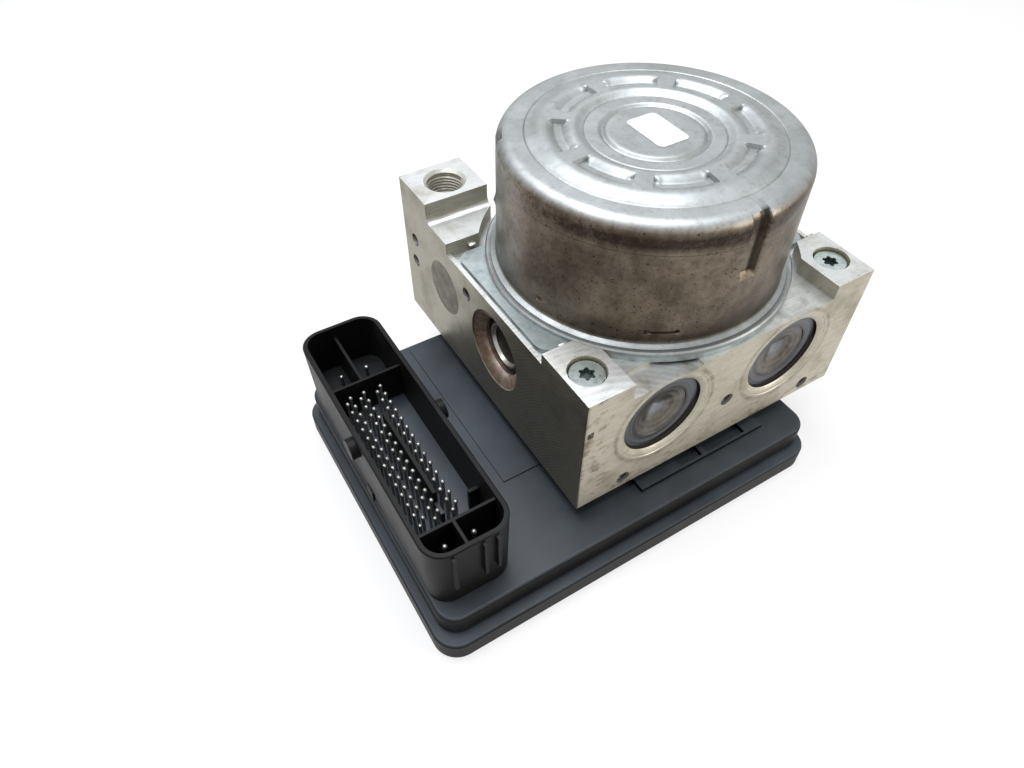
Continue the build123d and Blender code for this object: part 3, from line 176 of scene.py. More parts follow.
def mix_colours(tree, factor, first, second):
    mixed = add_node(tree, "Mix", {0: factor, 6: first, 7: second}, data_type="RGBA")
    return mixed.outputs[2]


def ramp(tree, value, low, high, to_low=0.0, to_high=1.0):
    mapped = add_node(
        tree,
        "MapRange",
        {"Value": value, "From Min": low, "From Max": high, "To Min": to_low, "To Max": to_high},
    )
    return mapped.outputs["Result"]


def two_tones(tree, value, low, high, first, second):
    """Wanders between two hex colours as a value goes from low to high."""
    return mix_colours(tree, ramp(tree, value, low, high), linear(first), linear(second))


def start_material(name):
    material = bpy.data.materials.new(name)
    material.use_nodes = True
    tree = material.node_tree
    tree.nodes.clear()
    output = add_node(tree, "OutputMaterial")
    shader = add_node(tree, "BsdfPrincipled")
    tree.links.new(shader.outputs["BSDF"], output.inputs["Surface"])
    place = add_node(tree, "TexCoord").outputs["Object"]
    return material, tree, shader, place


def stretched(tree, place, x, y, z):
    mapping = add_node(tree, "Mapping", {"Vector": place, "Scale": (x, y, z)})
    return mapping.outputs["Vector"]


def noise(tree, vector, size_mm, detail, roughness):
    made = add_node(
        tree,
        "TexNoise",
        {"Vector": vector, "Scale": 1 / (size_mm * mm), "Detail": detail, "Roughness": roughness},
    )
    return made.outputs["Fac"]


def bump(tree, shader, height, depth_mm):
    made = add_node(tree, "Bump", {"Height": height, "Distance": depth_mm * mm, "Strength": 1.0})
    tree.links.new(made.outputs["Normal"], shader.inputs["Normal"])


# %% [markdown]
# Masks are sums on sockets. These helpers do one sum each, so that a mask reads from left to
# right.

# %% Mask helpers
def calculate(tree, operation, *values):
    return add_node(tree, "Math", dict(enumerate(values)), operation=operation).outputs[0]


def times(tree, first, second):
    return calculate(tree, "MULTIPLY", first, second)


def plus(tree, first, second):
    return calculate(tree, "ADD", first, second)


def facing_up(tree):
    """1 where a surface looks straight up, 0 where it stands upright."""
    normal = add_node(tree, "TexCoord").outputs["Normal"]
    return add_node(tree, "SeparateXYZ", {"Vector": normal}).outputs["Z"]


def distance_along(tree, place, direction):
    """How far a place lies along a direction."""
    dot = add_node(tree, "VectorMath", {0: place, 1: direction}, operation="DOT_PRODUCT")
    return dot.outputs["Value"]


# %% [markdown]
# ## Milled aluminium
# The block is cut from an extruded aluminium bar and milled on all sides. Its top faces are
# painted lighter and cooler than its sides, and its left face is painted darker still: painted
# light and shade. The cutter leaves fine arcs, handling leaves grey smears, and old brake fluid
# leaves brown specks and brown mouths round the pump plugs. The arcs are 0.9 mm apart, which is
# coarser than real milling so that they show. The gap under the flange along the left lip and a
# thin ring round each cap are painted dark brown, partly grime and stain and partly painted shade.
# Masks follow
# real places: the height, the distance from a bore's axis, the lip along the left edge.

# %% Block finish
def axis_distance(tree, place, axis, first, second):
    """Distance in metres from a line along an axis, the same on both sides of the middle plane."""
    parts = add_node(tree, "SeparateXYZ", {"Vector": place})
    names = [name for name in "XYZ" if name != axis]
    squares = []
    for name, centre in zip(names, (first, second)):
        value = parts.outputs[name]
        if name == "X":
            value = calculate(tree, "ABSOLUTE", value)
        away = calculate(tree, "SUBTRACT", value, centre)
        squares.append(times(tree, away, away))
    return calculate(tree, "SQRT", plus(tree, *squares))


def band(tree, value, low, high, soft):
    """1 between two values and 0 outside them, with soft edges."""
    rise = ramp(tree, value, low - soft, low + soft)
    fall = ramp(tree, value, high + soft, high - soft)
    return times(tree, rise, fall)


def milled_aluminium():
    material, tree, shader, place = start_material("milled_aluminium")
    parts = add_node(tree, "SeparateXYZ", {"Vector": place})
    x, y, z = (parts.outputs[name] for name in "XYZ")
    upwards = facing_up(tree)
    top = ramp(tree, upwards, 0.5, 0.9)
    flank = times(
        tree, ramp(tree, x, left_x + 0.6 * mm, left_x + 0.2 * mm), ramp(tree, upwards, 0.3, 0.1)
    )
    front = times(
        tree, ramp(tree, y, front_y + 0.6 * mm, front_y + 0.2 * mm), ramp(tree, upwards, 0.3, 0.1)
    )
    arcs = add_node(
        tree,
        "TexWave",
        {
            "Vector": add_node(
                tree, "Mapping", {"Vector": place, "Location": (0.05, 0.07, 0.01)}
            ).outputs["Vector"],
            "Scale": 0.314 / (0.9 * mm),
            "Distortion": 1.5,
            "Detail": 2.0,
            "Detail Scale": 0.5,
        },
        wave_type="RINGS",
        rings_direction="SPHERICAL",
    ).outputs["Fac"]
    streaks = noise(tree, stretched(tree, place, 0.1, 2.5, 4.0), 0.9, 4.0, 0.6)
    smears = noise(tree, place, 12.0, 5.0, 0.62)
    blotches = noise(tree, stretched(tree, place, 1.0, 1.0, 1.6), 4.5, 4.0, 0.65)
    specks = noise(tree, place, 0.9, 2.0, 0.6)
    # Painted light and shade: the tops take a lighter, cooler tone than the sides.
    shaded_side_tone = two_tones(tree, streaks, 0.3, 0.7, "C8C4B4", "A8A392")
    lit_top_tone = two_tones(tree, streaks, 0.3, 0.7, "D3D5D4", "C2C5C4")
    lit_and_shaded_base = mix_colours(tree, top, shaded_side_tone, lit_top_tone)
    swirled = times(tree, flank, ramp(tree, y, -5 * mm, -20 * mm))
    arc_strength = plus(tree, times(tree, swirled, 0.5), 0.04)
    arced = mix_colours(
        tree, times(tree, ramp(tree, arcs, 0.2, 0.9), arc_strength), lit_and_shaded_base, linear("6E6B63")
    )
    smeared = mix_colours(tree, ramp(tree, smears, 0.5, 0.7, 0.0, 0.6), arced, linear("837D6D"))
    # Painted shade: the left face is darkened towards a dull grey-brown.
    left_face_shaded = mix_colours(tree, times(tree, flank, 0.55), smeared, linear("7C7668"))
    edges = plus(
        tree,
        ramp(tree, z, block_low.z + 9 * mm, block_low.z + 1 * mm),
        ramp(tree, x, left_x + 14 * mm, left_x + 2 * mm),
    )
    dirt = times(tree, ramp(tree, blotches, 0.52, 0.66), ramp(tree, edges, 0.0, 1.0, 0.12, 0.8))
    dirty = mix_colours(
        tree,
        times(tree, dirt, plus(tree, times(tree, front, 0.85), 0.12)),
        left_face_shaded,
        linear("6B5C45"),
    )
    spotted = mix_colours(tree, ramp(tree, specks, 0.69, 0.75, 0.0, 0.85), dirty, linear("4F4433"))
    lip = times(
        tree,
        band(tree, x, left_x + 0.7 * mm, left_x + 2.6 * mm, 0.12 * mm),
        band(tree, z, block_top_z - 1.0 * mm, block_top_z + 1.2 * mm, 0.2 * mm),
    )
    # Painted shade with some brown grime: the gap under the flange along the left lip is darkened
    # in patches.
    gap_shade_and_grime = times(tree, lip, ramp(tree, blotches, 0.3, 0.5))
    gap_shaded = mix_colours(tree, gap_shade_and_grime, spotted, linear("33261B"))
    to_pump = axis_distance(tree, place, "X", pump_y, pump_z)
    mouth = times(
        tree,
        band(tree, to_pump, 7.5 * mm, 12.1 * mm, 0.3 * mm),
        ramp(tree, calculate(tree, "ABSOLUTE", x), 40 * mm, 42 * mm),
    )
    copper = times(tree, mouth, ramp(tree, blotches, 0.35, 0.6, 0.35, 0.85))
    coppery = mix_colours(tree, copper, gap_shaded, linear("7A5540"))
    to_cap = axis_distance(tree, place, "Y", cap_x, cap_z)
    near_front = ramp(tree, y, front_y + 6 * mm, front_y + 4 * mm)
    # A thin dark brown ring round each cap on the front face: partly stain, partly the painted
    # shade of a faint groove.
    cap_ring_band = times(tree, near_front, band(tree, to_cap, 15.2 * mm, 16.4 * mm, 0.35 * mm))
    cap_ring_stain_and_shade = times(tree, cap_ring_band, ramp(tree, blotches, 0.35, 0.6, 0.1, 0.6))
    ringed = mix_colours(tree, cap_ring_stain_and_shade, coppery, linear("6D6252"))
    tree.links.new(ringed, shader.inputs["Base Color"])
    bright = calculate(tree, "MAXIMUM", top, flank)
    tree.links.new(ramp(tree, bright, 0.0, 1.0, 0.55, 0.95), shader.inputs["Metallic"])
    dullness = ramp(tree, bright, 0.0, 1.0, 0.18, 0.08)
    tree.links.new(
        plus(tree, ramp(tree, smears, 0.3, 0.75, 0.26, 0.42), dullness), shader.inputs["Roughness"]
    )
    bump(tree, shader, plus(tree, arcs, streaks), 0.012)
    return material


# %% [markdown]
# ## Zinc-plated steel
# The can is deep-drawn from sheet steel that was zinc plated. The top and the foot rim stay an
# even blue-grey. The wall is painted darker than the top, as painted shade, and the side that
# faces the camera is painted brown-grey, a painted warm reflection. The wall is covered in tiny
# dark pits, most on that side, because this unit has seen a winter or two, and a black-brown tide
# mark runs under the shoulder. Near the foot the wall is painted darker, and a painted shadow runs
# down one wall of the front bead. Masks follow the height on the can and the side of it, and the
# pits are a fine noise that is cut off high.

# %% Can finish
def zinc_plated_can():
    material, tree, shader, place = start_material("zinc_plated_can")
    shader.inputs["Metallic"].default_value = 1.0
    height = add_node(tree, "SeparateXYZ", {"Vector": place}).outputs["Z"]
    stain_and_reflection_side = Vector((math.cos(stain_and_reflection_angle), math.sin(stain_and_reflection_angle), 0)) / can_radius
    facing = distance_along(tree, place, stain_and_reflection_side)
    side = ramp(tree, facing, 0.05, 0.62)
    wall = times(
        tree,
        ramp(tree, height, can_top_z - 0.5 * mm, can_top_z - 2.2 * mm),
        ramp(tree, height, can_foot_z + 1.6 * mm, can_foot_z + 2.6 * mm),
    )
    grain = noise(tree, stretched(tree, place, 1.0, 1.0, 0.35), 1.6, 5.0, 0.7)
    clouds = noise(tree, place, 15.0, 5.0, 0.6)
    mottle = noise(tree, place, 2.0, 6.0, 0.75)
    pits = noise(tree, place, 0.7, 3.0, 0.65)
    top_tone = two_tones(tree, clouds, 0.35, 0.65, "A2A6A7", "888C8C")
    freckles = ramp(tree, mottle, 0.5, 0.7, 0.0, 0.5)
    freckled = mix_colours(tree, freckles, top_tone, linear("77736B"))
    # Painted shade and reflection: the wall is darker than the top, and the side facing the camera
    # turns a warm brown-grey.
    shaded_wall_zinc = two_tones(tree, clouds, 0.35, 0.65, "8E908D", "70726E")
    warm_reflection_side = two_tones(tree, clouds, 0.4, 0.62, "7A6F61", "574D42")
    side_tone = mix_colours(tree, side, shaded_wall_zinc, warm_reflection_side)
    tone = mix_colours(tree, wall, freckled, side_tone)
    mottled = mix_colours(
        tree, times(tree, wall, ramp(tree, mottle, 0.45, 0.7, 0.0, 0.55)), tone, linear("3B362E")
    )
    tide = times(
        tree,
        band(tree, height, can_top_z - 6.5 * mm, can_top_z - 2.6 * mm, 1.0 * mm),
        ramp(tree, plus(tree, facing, mottle), 1.0, 1.45, 0.0, 0.85),
    )
    tided = mix_colours(tree, tide, mottled, linear("211C15"))
    near_foot = ramp(tree, height, can_foot_z + 9 * mm, can_foot_z + 3 * mm, 0.0, 0.5)
    foot_shade = times(tree, near_foot, times(tree, side, wall))
    footed = mix_colours(tree, foot_shade, tided, linear("37332C"))
    draw_line = times(
        tree, band(tree, height, draw_line_z - 0.1 * mm, draw_line_z + 0.1 * mm, 0.12 * mm), side
    )
    lined = mix_colours(tree, times(tree, draw_line, 0.6), footed, linear("231F1A"))
    # Painted shadow: one wall of the front bead is darkened, from the shoulder down.
    bead_turn = math.radians(front_bead_degrees)
    sideways = distance_along(tree, place, (-math.sin(bead_turn), math.cos(bead_turn), 0))
    outwards = distance_along(tree, place, (math.cos(bead_turn), math.sin(bead_turn), 0))
    bead_shadow = times(
        tree,
        times(
            tree,
            band(tree, sideways, 0.3 * mm, 2.5 * mm, 0.15 * mm),
            ramp(tree, outwards, 0.8 * can_radius, 0.9 * can_radius),
        ),
        band(tree, height, can_top_z - 17.5 * mm, can_top_z - 0.2 * mm, 0.3 * mm),
    )
    bead_shadowed = mix_colours(tree, times(tree, bead_shadow, 0.8), lined, linear("241E17"))
    pitting = times(tree, ramp(tree, plus(tree, pits, times(tree, side, 0.05)), 0.66, 0.72), wall)
    pitted = mix_colours(tree, times(tree, pitting, 0.85), bead_shadowed, linear("1E1A15"))
    flecked = mix_colours(tree, ramp(tree, pits, 0.72, 0.77, 0.0, 0.6), pitted, linear("4D483F"))
    tree.links.new(flecked, shader.inputs["Base Color"])
    gloss = plus(tree, ramp(tree, clouds, 0.3, 0.7, 0.46, 0.56), times(tree, wall, -0.1))
    tree.links.new(gloss, shader.inputs["Roughness"])
    bump(tree, shader, plus(tree, grain, times(tree, pits, 0.5)), 0.02)
    return material


# %% [markdown]
# ## Black glass-filled nylon
# The control unit is moulded in black nylon with glass fibre in it. It is nearly black where it
# faces sideways. Its finely grained skin mirrors little and blurs what it mirrors. Faces that look
# up and lie below about 29 mm are painted a lighter cool grey, partly dust and partly a painted
# sheen, and some more dust lies on it in patches. Above 20 mm at the front and the rear the
# housing keeps its dark tone as painted shade.

# %% Housing finish
def black_nylon(name, dust):
    material, tree, shader, place = start_material(name)
    grain = noise(tree, place, 0.35, 2.0, 0.5)
    bloom = noise(tree, place, 22.0, 4.0, 0.6)
    specks = noise(tree, place, 0.9, 2.0, 0.6)
    upwards = facing_up(tree)
    parts = add_node(tree, "SeparateXYZ", {"Vector": place})
    high = ramp(tree, parts.outputs["Z"], 29 * mm, 26 * mm)
    # Painted shade: above 20 mm at the front and the rear the lighter grey is taken away.
    shaded_chambers = times(
        tree,
        ramp(tree, parts.outputs["Z"], 18 * mm, 20 * mm),
        plus(
            tree,
            ramp(tree, parts.outputs["Y"], 14 * mm, 16 * mm),
            ramp(tree, parts.outputs["Y"], -38 * mm, -40 * mm),
        ),
    )
    level = times(
        tree,
        times(tree, ramp(tree, upwards, 0.55, 0.95), high),
        ramp(tree, shaded_chambers, 0.0, 1.0, 1.0, 0.1),
    )
    # Upward faces below about 29 mm are painted a lighter cool grey: partly dust, partly a painted
    # sheen.
    upright = two_tones(tree, bloom, 0.35, 0.7, "0D0D0D", "151412")
    flat_dust_and_sheen = two_tones(tree, bloom, 0.35, 0.7, "2D3237", "3B4249")
    tree.links.new(ramp(tree, level, 0.0, 1.0, 0.12, 0.28), shader.inputs["Specular IOR Level"])
    base = mix_colours(tree, level, upright, flat_dust_and_sheen)
    dusty = mix_colours(tree, ramp(tree, bloom, 0.5, 0.8, 0.0, dust), base, linear("3F4449"))
    dotted = mix_colours(tree, ramp(tree, specks, 0.74, 0.78, 0.0, 0.5), dusty, linear("4A4C50"))
    tree.links.new(dotted, shader.inputs["Base Color"])
    tree.links.new(ramp(tree, bloom, 0.3, 0.7, 0.4, 0.52), shader.inputs["Roughness"])
    bump(tree, shader, grain, 0.015)
    return material


# %% [markdown]
# ## Plain metals and plastics
# The small parts share one recipe: a colour that wanders a little between two tones, and fine
# tool marks or grain. Only the tones, the gloss and the size of the grain differ.

# %% Finish for small parts
def plain_finish(name, light, dark, metallic, roughness, grain_mm=0.6, depth_mm=0.008):
    material, tree, shader, place = start_material(name)
    shader.inputs["Metallic"].default_value = metallic
    wander = noise(tree, place, 4.0, 4.0, 0.6)
    grain = noise(tree, place, grain_mm, 2.0, 0.5)
    tone = two_tones(tree, wander, 0.35, 0.68, light, dark)
    tree.links.new(tone, shader.inputs["Base Color"])
    gloss = ramp(tree, wander, 0.3, 0.7, roughness - 0.05, roughness + 0.07)
    tree.links.new(gloss, shader.inputs["Roughness"])
    bump(tree, shader, grain, depth_mm)
    return material


# The accumulator caps are turned and pressed, so their tones lie in rings about their axes, 1.7
# mm apart, from dark grey to the brown of dried fluid.
cap_turn_gap = 1.7 * mm


def dished_cap_steel():
    material, tree, shader, place = start_material("dished_cap_steel")
    shader.inputs["Metallic"].default_value = 1.0
    away = axis_distance(tree, place, "Y", cap_x, cap_z)
    turns = calculate(tree, "SINE", times(tree, away, math.tau / cap_turn_gap))
    clouds = noise(tree, place, 4.5, 4.0, 0.6)
    specks = noise(tree, place, 0.6, 2.0, 0.6)
    tone = two_tones(tree, clouds, 0.38, 0.62, "68635C", "4B463F")
    outer = mix_colours(tree, ramp(tree, away, 7.0 * mm, 10.5 * mm), tone, linear("53575D"))
    ringed = mix_colours(tree, ramp(tree, turns, 0.2, 1.0, 0.0, 0.18), outer, linear("8A8478"))
    middle = ramp(tree, away, 4.0 * mm, 1.0 * mm, 0.0, 0.7)
    centred = mix_colours(tree, middle, ringed, linear("8A9098"))
    groove = plus(
        tree,
        band(tree, away, 8.7 * mm, 9.1 * mm, 0.25 * mm),
        band(tree, away, 11.9 * mm, 13.0 * mm, 0.3 * mm),
    )
    rimmed = mix_colours(tree, groove, centred, linear("2E2822"))
    speckled = mix_colours(tree, ramp(tree, specks, 0.7, 0.76, 0.0, 0.7), rimmed, linear("2A241E"))
    tree.links.new(speckled, shader.inputs["Base Color"])
    shader.inputs["Roughness"].default_value = 0.3
    bump(tree, shader, turns, 0.02)
    return material


# The plugs' turned steel is dark with oil, and only the raised ring of a pump plug is
# painted light, a painted highlight.
def oiled_plug_steel():
    material, tree, shader, place = start_material("oiled_plug_steel")
    shader.inputs["Metallic"].default_value = 1.0
    wander = noise(tree, place, 3.0, 4.0, 0.6)
    tone = two_tones(tree, wander, 0.35, 0.68, "3E3B38", "2A2826")
    away = axis_distance(tree, place, "X", pump_y, pump_z)
    # Painted highlight: the pump plug's raised ring is painted light.
    ring_highlight = band(tree, away, 5.7 * mm, 6.9 * mm, 0.2 * mm)
    ringed = mix_colours(tree, ring_highlight, tone, linear("A8A6A1"))
    tree.links.new(ringed, shader.inputs["Base Color"])
    shader.inputs["Roughness"].default_value = 0.34
    bump(tree, shader, wander, 0.01)
    return material


# The screws' blue zinc is bright on the heads' faces, and grease and shadow darken the torx
# recesses.
def blue_zinc_steel():
    material, tree, shader, place = start_material("blue_zinc_steel")
    shader.inputs["Metallic"].default_value = 1.0
    height = add_node(tree, "SeparateXYZ", {"Vector": place}).outputs["Z"]
    wander = noise(tree, place, 1.6, 4.0, 0.6)
    tone = two_tones(tree, wander, 0.35, 0.68, "C6D0CF", "9EABAA")
    recess = band(tree, height, screw_high.z - 4 * mm, screw_high.z - 0.35 * mm, 0.1 * mm)
    darkened = mix_colours(tree, times(tree, recess, 0.8), tone, linear("414B4A"))
    tree.links.new(darkened, shader.inputs["Base Color"])
    tree.links.new(ramp(tree, wander, 0.3, 0.7, 0.24, 0.4), shader.inputs["Roughness"])
    bump(tree, shader, wander, 0.02)
    return material


finishes = {
    "block_aluminium": milled_aluminium(),
    "can_steel": zinc_plated_can(),
    "flange_steel": plain_finish("zinc_plated_flange", "A9B3B3", "7F8788", 1.0, 0.42, 1.2, 0.02),
    "label_white": plain_finish("label_film", "E2E4E4", "D6D9DA", 0.0, 0.45),
    "ferrite": plain_finish("ground_ferrite", "3A3A3C", "2B2B2D", 0.1, 0.6),
    "bronze": plain_finish("sintered_bronze", "A97F4A", "8C6739", 1.0, 0.45),
    "hard_steel": plain_finish("ground_bearing_steel", "C4C6C8", "ABADB0", 1.0, 0.2),
    "core_steel": plain_finish("stamped_lamination_steel", "84868A", "6A6C70", 1.0, 0.4),
    "copper_wire": plain_finish("enamelled_copper", "B5683A", "8E4A26", 1.0, 0.35),
    "brown_plastic": plain_finish("phenolic_moulding", "3A2E26", "2B221C", 0.0, 0.5),
    "cage_plastic": plain_finish("natural_nylon", "C9C4B0", "B5AF9A", 0.0, 0.45),
    "carbon": plain_finish("pressed_carbon", "303032", "222224", 0.2, 0.55),
    "spring_steel": plain_finish("drawn_spring_wire", "9EA0A3", "84868A", 1.0, 0.3),
    "tin_plated": plain_finish("tin_plated_brass", "A3A4A0", "82837F", 1.0, 0.45),
    "plug_steel": oiled_plug_steel(),
    "plug_aluminium": plain_finish("turned_aluminium", "7A7465", "5F5A4D", 0.7, 0.5),
    "zinc_steel": blue_zinc_steel(),
    "valve_steel": plain_finish("turned_stainless", "B8B9BA", "A0A1A3", 1.0, 0.28),
    "coil_plastic": plain_finish("overmoulded_coil", "2A2A2C", "1E1E20", 0.0, 0.45),
    "board_green": plain_finish("green_solder_resist", "1E6B3A", "17572F", 0.0, 0.3),
    "chip_black": plain_finish("epoxy_chip_case", "242426", "1B1B1D", 0.0, 0.5),
    "lid_plastic": black_nylon("black_nylon_lid", 0.35),
    "housing_plastic": black_nylon("black_nylon_housing", 0.25),
    "seal_rubber": plain_finish("nitrile_rubber", "1C1C1D", "141415", 0.0, 0.6),
    "cap_steel": dished_cap_steel(),
    "piston_plastic": plain_finish("glass_filled_nylon", "6E6E68", "5C5C57", 0.0, 0.45),
}
print("finishes", len(finishes))


# %% [markdown]
# Every node of the frame starts with its own finish. The record says which one each node takes.

# %% Dress the nodes
slot_of = {part["node"]: part["material_slot"] for part in frame["record"]["subparts"]}
for name, solid in frame["nodes"].items():
    finish = finishes[slot_of[name]]
    if not solid.data.materials:
        solid.data.materials.append(finish)
    for index in range(len(solid.data.materials)):
        solid.data.materials[index] = finish


# %% [markdown]
# ## Making pieces
# A finished piece sits at the origin with its place in its mesh. This helper turns a bmesh into
# such a piece, gives it its finish and its body, and hides the solid that it stands for.

# %% Piece helper
def make_piece(name, shape, slot, body=unit, replaced=(), smooth_degrees=35):
    bmesh.ops.recalc_face_normals(shape, faces=shape.faces)
    mesh = bpy.data.meshes.new(name)
    shape.to_mesh(mesh)
    shape.free()
    piece = bpy.data.objects.new(name, mesh)
    bpy.context.scene.collection.objects.link(piece)
    mesh.materials.append(finishes[slot])
    mesh.polygons.foreach_set("use_smooth", [True] * len(mesh.polygons))
    mesh.set_sharp_from_angle(angle=math.radians(smooth_degrees))
    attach(piece, body)
    if replaced:
        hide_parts(*replaced)
    return piece


def spin_profile(points, steps):
    """Turns an outline of (radius, height) points about the Z axis, in metres."""
    shape = bmesh.new()
    verts = [shape.verts.new((radius, 0, height)) for radius, height in points]
    edges = [shape.edges.new(pair) for pair in zip(verts, verts[1:])]
    bmesh.ops.spin(
        shape,
        geom=verts + edges,
        cent=(0, 0, 0),
        axis=(0, 0, 1),
        angle=math.tau,
        steps=steps,
        use_merge=True,
    )
    bmesh.ops.remove_doubles(shape, verts=shape.verts, dist=merge_distance)
    return shape


# %% [markdown]
# ## The motor can
# A press draws the can from a disc of sheet steel and embosses its top in the same tool. The
# lathe-like part is spun from an outline, with more rings where an edge has to be crisp. The
# embossing isn't round, so the finely divided mesh is then pushed down by a height that depends
# on the place: a crowned ring, eight arc slots in it that are V-shaped with a flat floor and
# steep triangular ends, three beads that run down the wall from notches in the shoulder, and
# three lanced marks near the foot.

# %% Can outline
crown_height = 1.1 * mm
crown_inside = 17.9 * mm
crown_outside = 32.8 * mm
shoulder = 3.6 * mm
sheet = 2.0 * mm
foot_radius = 43.2 * mm
foot_height = 1.4 * mm
lance_z = can_foot_z + 5.5 * mm
spin_steps = 480
shoulder_steps = 12


def steps_between(start, end, step):
    count = max(1, round(abs(end - start) / step))
    return [start + (end - start) * index / count for index in range(count)]


def steps_through(*stops):
    """Joins several runs of steps: start, step, end, step, end and so on, in millimetres."""
    places = []
    for start, step, end in zip(stops[0::2], stops[1::2], stops[2::2]):
        places += steps_between(start * mm, end * mm, step * mm)
    return places


top_rings = steps_through(
    *(0, 0.8, 12, 0.25, 15, 0.5, 17.5, 0.1, 18.3),
    *(0.3, 30.6, 0.45, 32.4, 0.1, 33.2, 0.5, 36.4),
)
outline = [(radius, can_top_z) for radius in top_rings]
for index in range(shoulder_steps + 1):
    angle = math.radians(90 - index * 90 / shoulder_steps)
    outline.append(
        (
            can_radius - shoulder + shoulder * math.cos(angle),
            can_top_z - shoulder + shoulder * math.sin(angle),
        )
    )
wall_foot = can_foot_z + foot_height + 1.2 * mm
wall_top = can_top_z - shoulder - 0.5 * mm
above_lances = lance_z + 1.6 * mm
below_lances = lance_z - 1.6 * mm
wall_rings = (
    steps_between(wall_top, above_lances, 0.6 * mm)
    + steps_between(above_lances, below_lances, 0.2 * mm)
    + steps_between(below_lances, wall_foot, 0.6 * mm)
)
outline += [(can_radius, z) for z in wall_rings]
outline += [
    (can_radius, wall_foot),
    (can_radius + 0.3 * mm, wall_foot - 0.8 * mm),
    (can_radius + 1.1 * mm, can_foot_z + foot_height),
    (can_radius + 1.6 * mm, can_foot_z + foot_height - 0.15 * mm),
    (can_radius + 2.0 * mm, can_foot_z + foot_height),
    (foot_radius - 0.4 * mm, can_foot_z + foot_height),
    (foot_radius, can_foot_z + foot_height - 0.4 * mm),
    (foot_radius, can_foot_z),
    (can_radius - sheet, can_foot_z),
    (can_radius - sheet, can_top_z - sheet),
    (0.0, can_top_z - sheet),
]
can_shape = spin_profile(outline, spin_steps)
print("can faces", len(can_shape.faces))


# %% Emboss the can
slot_radius = 24.3 * mm
slot_floor = 0.95 * mm
slot_bank = 3.2 * mm
slot_flare = 0.8 * mm
slot_half_angle = math.radians(17.25)
slot_depth = 1.2 * mm
spin_step = math.tau / spin_steps
bead_angles = (front_bead_degrees, 29, 149)
bead_half_width = 2.3 * mm
bead_depth = 1.5 * mm
bead_bottom = can_top_z - 18.4 * mm
lance_depth = 0.9 * mm


def clamp(value):
    return min(1.0, max(0.0, value))


def ease(value):
    value = clamp(value)
    return value * value * (3 - 2 * value)


def crown(radius):
    rise = ease((radius - crown_inside) / (2.6 * mm))
    fall = ease((crown_outside - radius) / (4.6 * mm))
    return crown_height * min(rise, fall)


def hub(radius):
    groove = ease(1 - abs(radius - 13.2 * mm) / (1.2 * mm))
    fine_in = clamp(1 - abs(radius - crown_inside) / (0.25 * mm))
    fine_out = clamp(1 - abs(radius - crown_outside) / (0.25 * mm))
    return -0.8 * mm * groove - 0.2 * mm * fine_in - 0.2 * mm * fine_out


def slots(radius, angle):
    spacing = math.radians(45)
    along = abs(angle % spacing - spacing / 2)
    to_end = slot_half_angle - along
    flare = slot_flare * ease(1 - to_end * slot_radius / (1.6 * mm))
    across = abs(radius - slot_radius)
    banks = clamp((slot_bank + flare - across) / (slot_bank - slot_floor)) ** 1.5
    steep = clamp(to_end / spin_step)
    soft = ease(to_end * slot_radius / (2.6 * mm))
    return -slot_depth * banks * (soft + (steep - soft) * banks**3)


def beads(position, angle):
    for degrees in bead_angles:
        away = (angle - math.radians(degrees) + math.pi) % math.tau - math.pi
        across = abs(away) * can_radius
        if across > 6 * mm:
            continue
        side = clamp((bead_half_width + 0.55 * mm - across) / (1.0 * mm))
        run = ease((position.z - bead_bottom) / (1.2 * mm))
        dimple = Vector((across, position.z - bead_bottom + 1.6 * mm)).length
        return bead_depth * side * run - 0.6 * mm * ease(1 - dimple / (1.6 * mm))
    return 0.0


def lances(position, angle):
    """A short slot with winged ends, a triangle and a nick, cut near the can's foot."""
    slot_across = abs((angle - math.radians(-119.5)) * can_radius)
    wing = 0.45 * mm * ease(1 - abs(slot_across - 4.0 * mm) / (0.9 * mm))
    slot_half = 0.35 * mm + wing
    slot_cut = clamp((4.4 * mm - slot_across) / (0.4 * mm)) * clamp(
        (slot_half - abs(position.z - lance_z)) / (0.2 * mm)
    )
    triangle_x = (angle - math.radians(-166.6)) * can_radius
    triangle_half = 1.3 * mm * clamp((1.7 * mm - triangle_x) / (3.2 * mm))
    triangle_cut = clamp((triangle_x + 1.6 * mm) / (0.4 * mm)) * clamp(
        (triangle_half - abs(position.z - lance_z - 0.3 * mm)) / (0.3 * mm)
    )
    nick_x = (angle - math.radians(163.7)) * can_radius
    nick = Vector((nick_x, position.z - lance_z - 0.8 * mm)).length
    return lance_depth * max(slot_cut, triangle_cut, 0.7 * clamp(1 - nick / (0.9 * mm)))


for vert in can_shape.verts:
    place = vert.co
    radius = math.hypot(place.x, place.y)
    angle = math.atan2(place.y, place.x)
    if place.z > can_top_z - 0.5 * mm:
        lift = crown(radius) + hub(radius) if radius < can_radius - shoulder else 0.0
        if radius > 1 * mm:
            lift += slots(radius, angle)
        place.z += lift
    outside = radius > can_radius - shoulder - 1 * mm and place.z > wall_foot
    if outside and radius > can_radius - sheet + 0.5 * mm:
        pressed = beads(place, angle) + lances(place, angle)
        if pressed:
            factor = (radius - pressed) / radius
            place.x *= factor
            place.y *= factor
can = make_piece("motor_can_embossed", can_shape, "can_steel", replaced=("motor_can",))
print("can triangles", sum(len(face.vertices) - 2 for face in can.data.polygons))


# %% [markdown]
# ## Small forms on the block
# The ports on top of the two posts are threaded. Only the crests show, as rings, so a helix of
# two faces is spun into each port. The wheel ports at the rear keep their plain bores. The two
# accumulator caps are held by aluminium that a tool has rolled over their rims, which leaves a
# smooth shiny ring. A punch has staked the flange at three corners of the block and pushed up a
# small burr at each.

# %% Port threads
thread_ridge = 0.28 * mm
thread_sunk = 0.02 * mm


